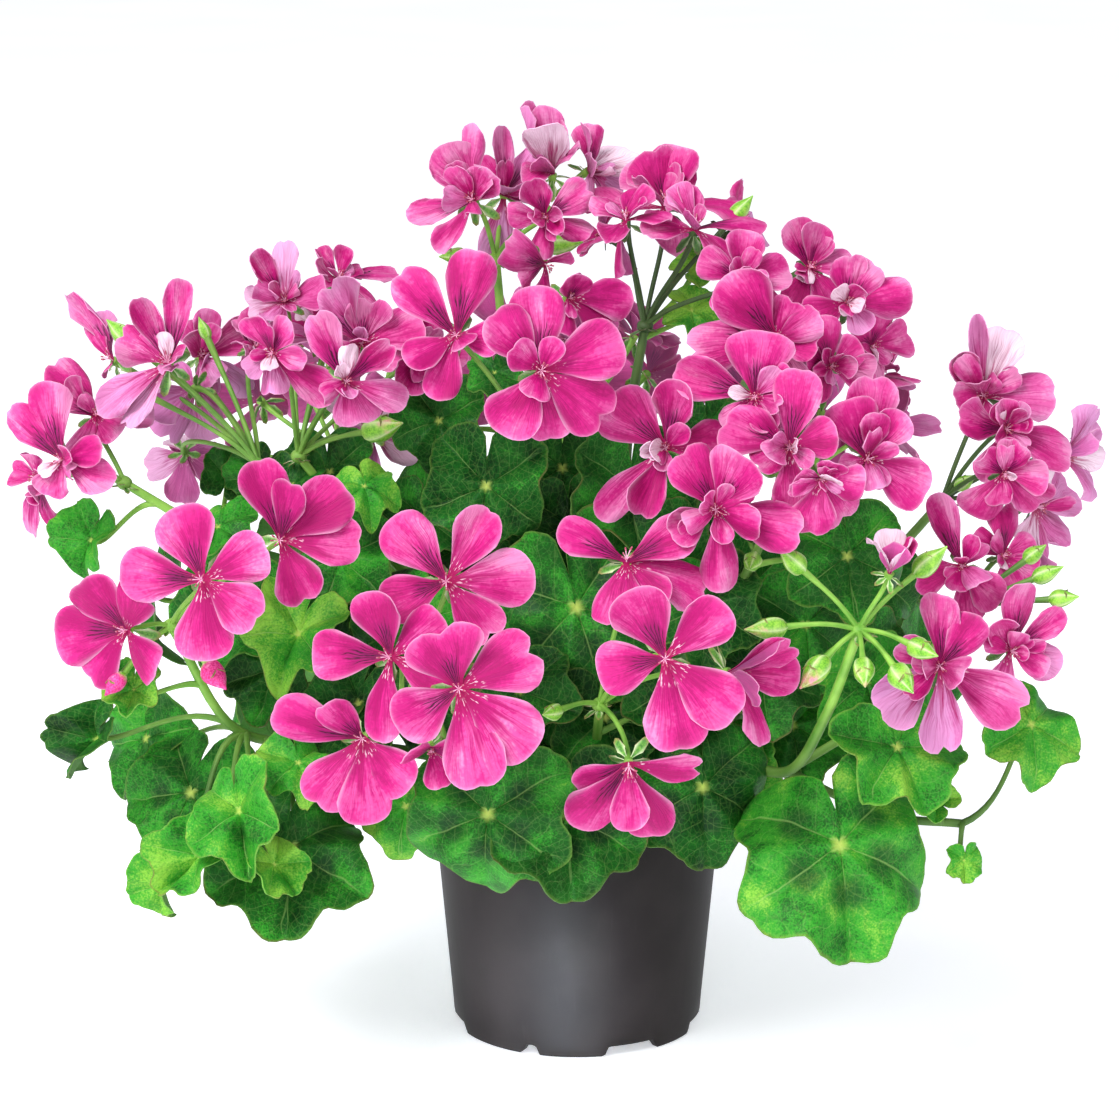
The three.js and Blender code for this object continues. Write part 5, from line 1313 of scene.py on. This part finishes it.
class Umbel:
    """What grows from one knob, kept as stalks and blades until it is all grown together."""

    def __init__(self, hub, seed, shade, ruffle):
        self.hub = hub
        self.shade = shade
        self.ruffle = ruffle
        self.rng = np.random.default_rng(seed)
        self.green = Stalks()
        self.buds = Stalks()
        self.threads = Stalks()
        self.petals = Blades()
        self.sepals = Blades()

    def turns(self, count, wobble, start=0.0):
        """Even turns round a heart, each a little off."""
        for k in range(count):
            yield 2 * math.pi * (k + start) / count + self.rng.uniform(-wobble, wobble)

    def petal(self, heart, facing, out, reach, breadth, lean, tone, mark):
        """A more ruffled umbel's petals are also narrower and less alike, and paler, partly in their own
        colour and partly as painted light against the shade they cast on each other.
        """
        rng = self.rng
        unruly = self.ruffle / CALM_RUFFLE
        tone = tone + 0.22 * (unruly - 1) - 0.07
        breadth = breadth * (1 - 0.07 * (unruly - 1))
        self.petals.lay(
            heart, out, np.cross(out, facing), facing, reach=reach, breadth=breadth, lean=lean,
            dish=rng.normal(0.05, 0.24 * unruly), twist=rng.normal(0.0, 0.17 * unruly),
            curl=rng.normal(0.10, 0.10 * unruly), skew=rng.normal(0.0, 0.10 * unruly),
            notch=max(0.0, rng.normal(0.02, 0.05)), tone=tone, mark=mark, seed=rng.uniform(0, 60),
        )

    def sepal(self, root, facing, out, reach, breadth, lean):
        # A sepal's tone is its umbel's painted shade.
        self.sepals.lay(
            root, out, np.cross(out, facing), facing, reach=reach, breadth=breadth, lean=lean,
            dish=0.5, twist=0.0, curl=0.10, skew=0.0, notch=0.0, tone=self.shade, mark=0.0,
            seed=self.rng.uniform(0, 60),
        )

    def stamens(self, heart, facing, top, side, reach):
        for turn in self.turns(STAMENS, 0.3):
            lean = 0.42 * turned(top, side, turn)
            tip = heart + reach * self.rng.uniform(0.17, 0.30) * unit(facing + lean)
            path = stalk_path(heart, facing, tip, unit(facing + 2 * lean), 8)
            self.threads.lay(path, MM * np.array(STAMEN_SHAPE))

    def floret(self, spec):
        rng = self.rng
        heart = place_of(spec)
        if isinstance(spec[5], list):
            facing, top, side = blade_frame(*spec[3:5])
            rows, inner = spec[5:]
        else:
            roll, wide, cup, tone, inner = spec[5:]
            facing, top, side = blade_frame(*spec[3:5], roll)
            rows = [(
                angle + rng.normal(0, 5), wide / 2 * rng.uniform(0.88, 1.0), wide * rng.uniform(0.29, 0.38),
                8 + 55 * cup + rng.normal(0, 7), min(max(tone + rng.normal(0, 0.15), 0), 1),
            ) for angle in PETAL_ANGLES]
        reach = MM * float(np.mean([row[1] for row in rows]))
        for k, (angle, length, width, lean, tone) in enumerate(rows):
            out = turned(top, side, math.radians(angle))
            marked = float(k < 2 and tone < 0.7)
            self.petal(heart, facing, out, MM * length, MM * width / 2, math.radians(lean), tone, marked)
        for turn in self.turns(SEPALS, 0.25, 0.5):
            out = turned(top, side, turn)
            length = min(0.42 * reach, LONGEST_SEPAL * MM) * rng.uniform(0.85, 1.15)
            root = heart - 1.4 * MM * facing
            self.sepal(root, facing, out, length, 0.17 * length, rng.uniform(-0.75, -0.15))
        for _ in range(inner + (inner > 1)):
            out = turned(top, side, rng.uniform(0, 2 * math.pi))
            length = reach * rng.uniform(0.45, 0.85)
            white = rng.uniform() < WHITE_CHANCE and length < LONGEST_WHITE * MM
            tone = WHITE if white else rng.uniform(0, 0.6)
            breadth = length * rng.uniform(0.22, 0.36)
            self.petal(heart, facing, out, length, breadth, rng.uniform(0.5, 1.3), tone, 0.0)
        self.stamens(heart, facing, top, side, reach)
        leaving = unit(unit(heart - self.hub) + (0, 0, 0.3))
        path = stalk_path(self.hub, leaving, heart + 0.2 * MM * facing, facing, 20)
        self.green.lay(path, MM * np.array(PEDICEL_SHAPE), self.shade)

    def bud(self, spec):
        tip = place_of(spec)
        length = MM * spec[3]
        flush = spec[4] if len(spec) > 4 else 0.0
        facing = unit(tip - self.hub)
        path = stalk_path(self.hub, unit(facing + (0, 0, 0.3)), tip, facing, BUD_STEPS)
        split = int(np.argmin(abs(np.linalg.norm(path - tip, axis=1) - length)))
        self.green.lay(path[:split + 2], MM * np.array(BUD_STALK_SHAPE), self.shade)
        spindle = smooth_path(list(path[split::max(1, (BUD_STEPS - split) // 5)]), 6)
        self.buds.lay(spindle, BUD_FATNESS * length * np.array(BUD_SHAPE), flush=flush)
        azimuth = math.degrees(math.atan2(facing[0], -facing[1]))
        _, top, side = blade_frame(azimuth, math.degrees(math.asin(facing[2])))
        for k in range(BUD_SEPALS):
            out = turned(top, side, 2 * math.pi * (k + 0.3) / BUD_SEPALS)
            self.sepal(path[split], facing, out, length * 0.62, 0.12 * length, 1.32)

    def bracts(self):
        for turn in self.turns(BRACTS, 0.3):
            out = np.array([math.cos(turn), math.sin(turn), 0.0])
            length = MM * self.rng.uniform(4.5, 7.5)
            self.sepal(self.hub - 1.5 * MM * UP, UP, out, length, 0.2 * length, self.rng.uniform(-0.5, 0.4))

    def piece(self, name, slot):
        self.bracts()
        knob = self.hub + 3 * MM * np.linspace(-1, 1, len(KNOB_SHAPE))[:, None] * UP
        self.green.lay(knob, KNOB_RADIUS * MM * np.array(KNOB_SHAPE), self.shade)
        meshes = [self.green.grown(STALK_SIDES, 0.05, stalk_material)]
        if self.petals.rows:
            rows, columns = (15, 15) if self.ruffle <= CALM_RUFFLE else (12, 11)
            petals = self.petals.grown(
                PETALS, Rows=rows, Columns=columns, Thickness=PETAL_THICKNESS, Ruffle=self.ruffle,
                Pleat=0.06, Tip_drop=0.30, Material=PETAL_MATERIAL,
            )
            meshes = [petals, *meshes, self.threads.grown(5, 0.0, stamen_material)]
        meshes.append(self.sepals.grown(
            PETALS, Rows=6, Columns=5, Thickness=SEPAL_THICKNESS, Ruffle=0.05, Pleat=0.0, Tip_drop=0.48,
            Material=sepal_material,
        ))
        if self.buds.points:
            meshes.append(self.buds.grown(10, 0.10, bud_material))
        piece_of(f"{name}_flower_head", meshes, slot, f"{name}_umbel")


for order, (name, layout) in enumerate(UMBELS.items()):
    shade = layout.get("shade", 0.0)
    ruffle = layout.get("ruffle", USUAL_RUFFLE)
    umbel = Umbel(place_of(layout["hub"]), UMBEL_SEED + order, shade, ruffle)
    for spec in layout["florets"]:
        umbel.floret(spec)
    for spec in layout["buds"]:
        umbel.bud(spec)
    umbel.piece(name, "bud" if name == "bud" else "petal")


# The sizes of the imported solids' box and of the dressed plant's.
boxes = [[list(corner) for corner in box] for box in (cad_box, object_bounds())]
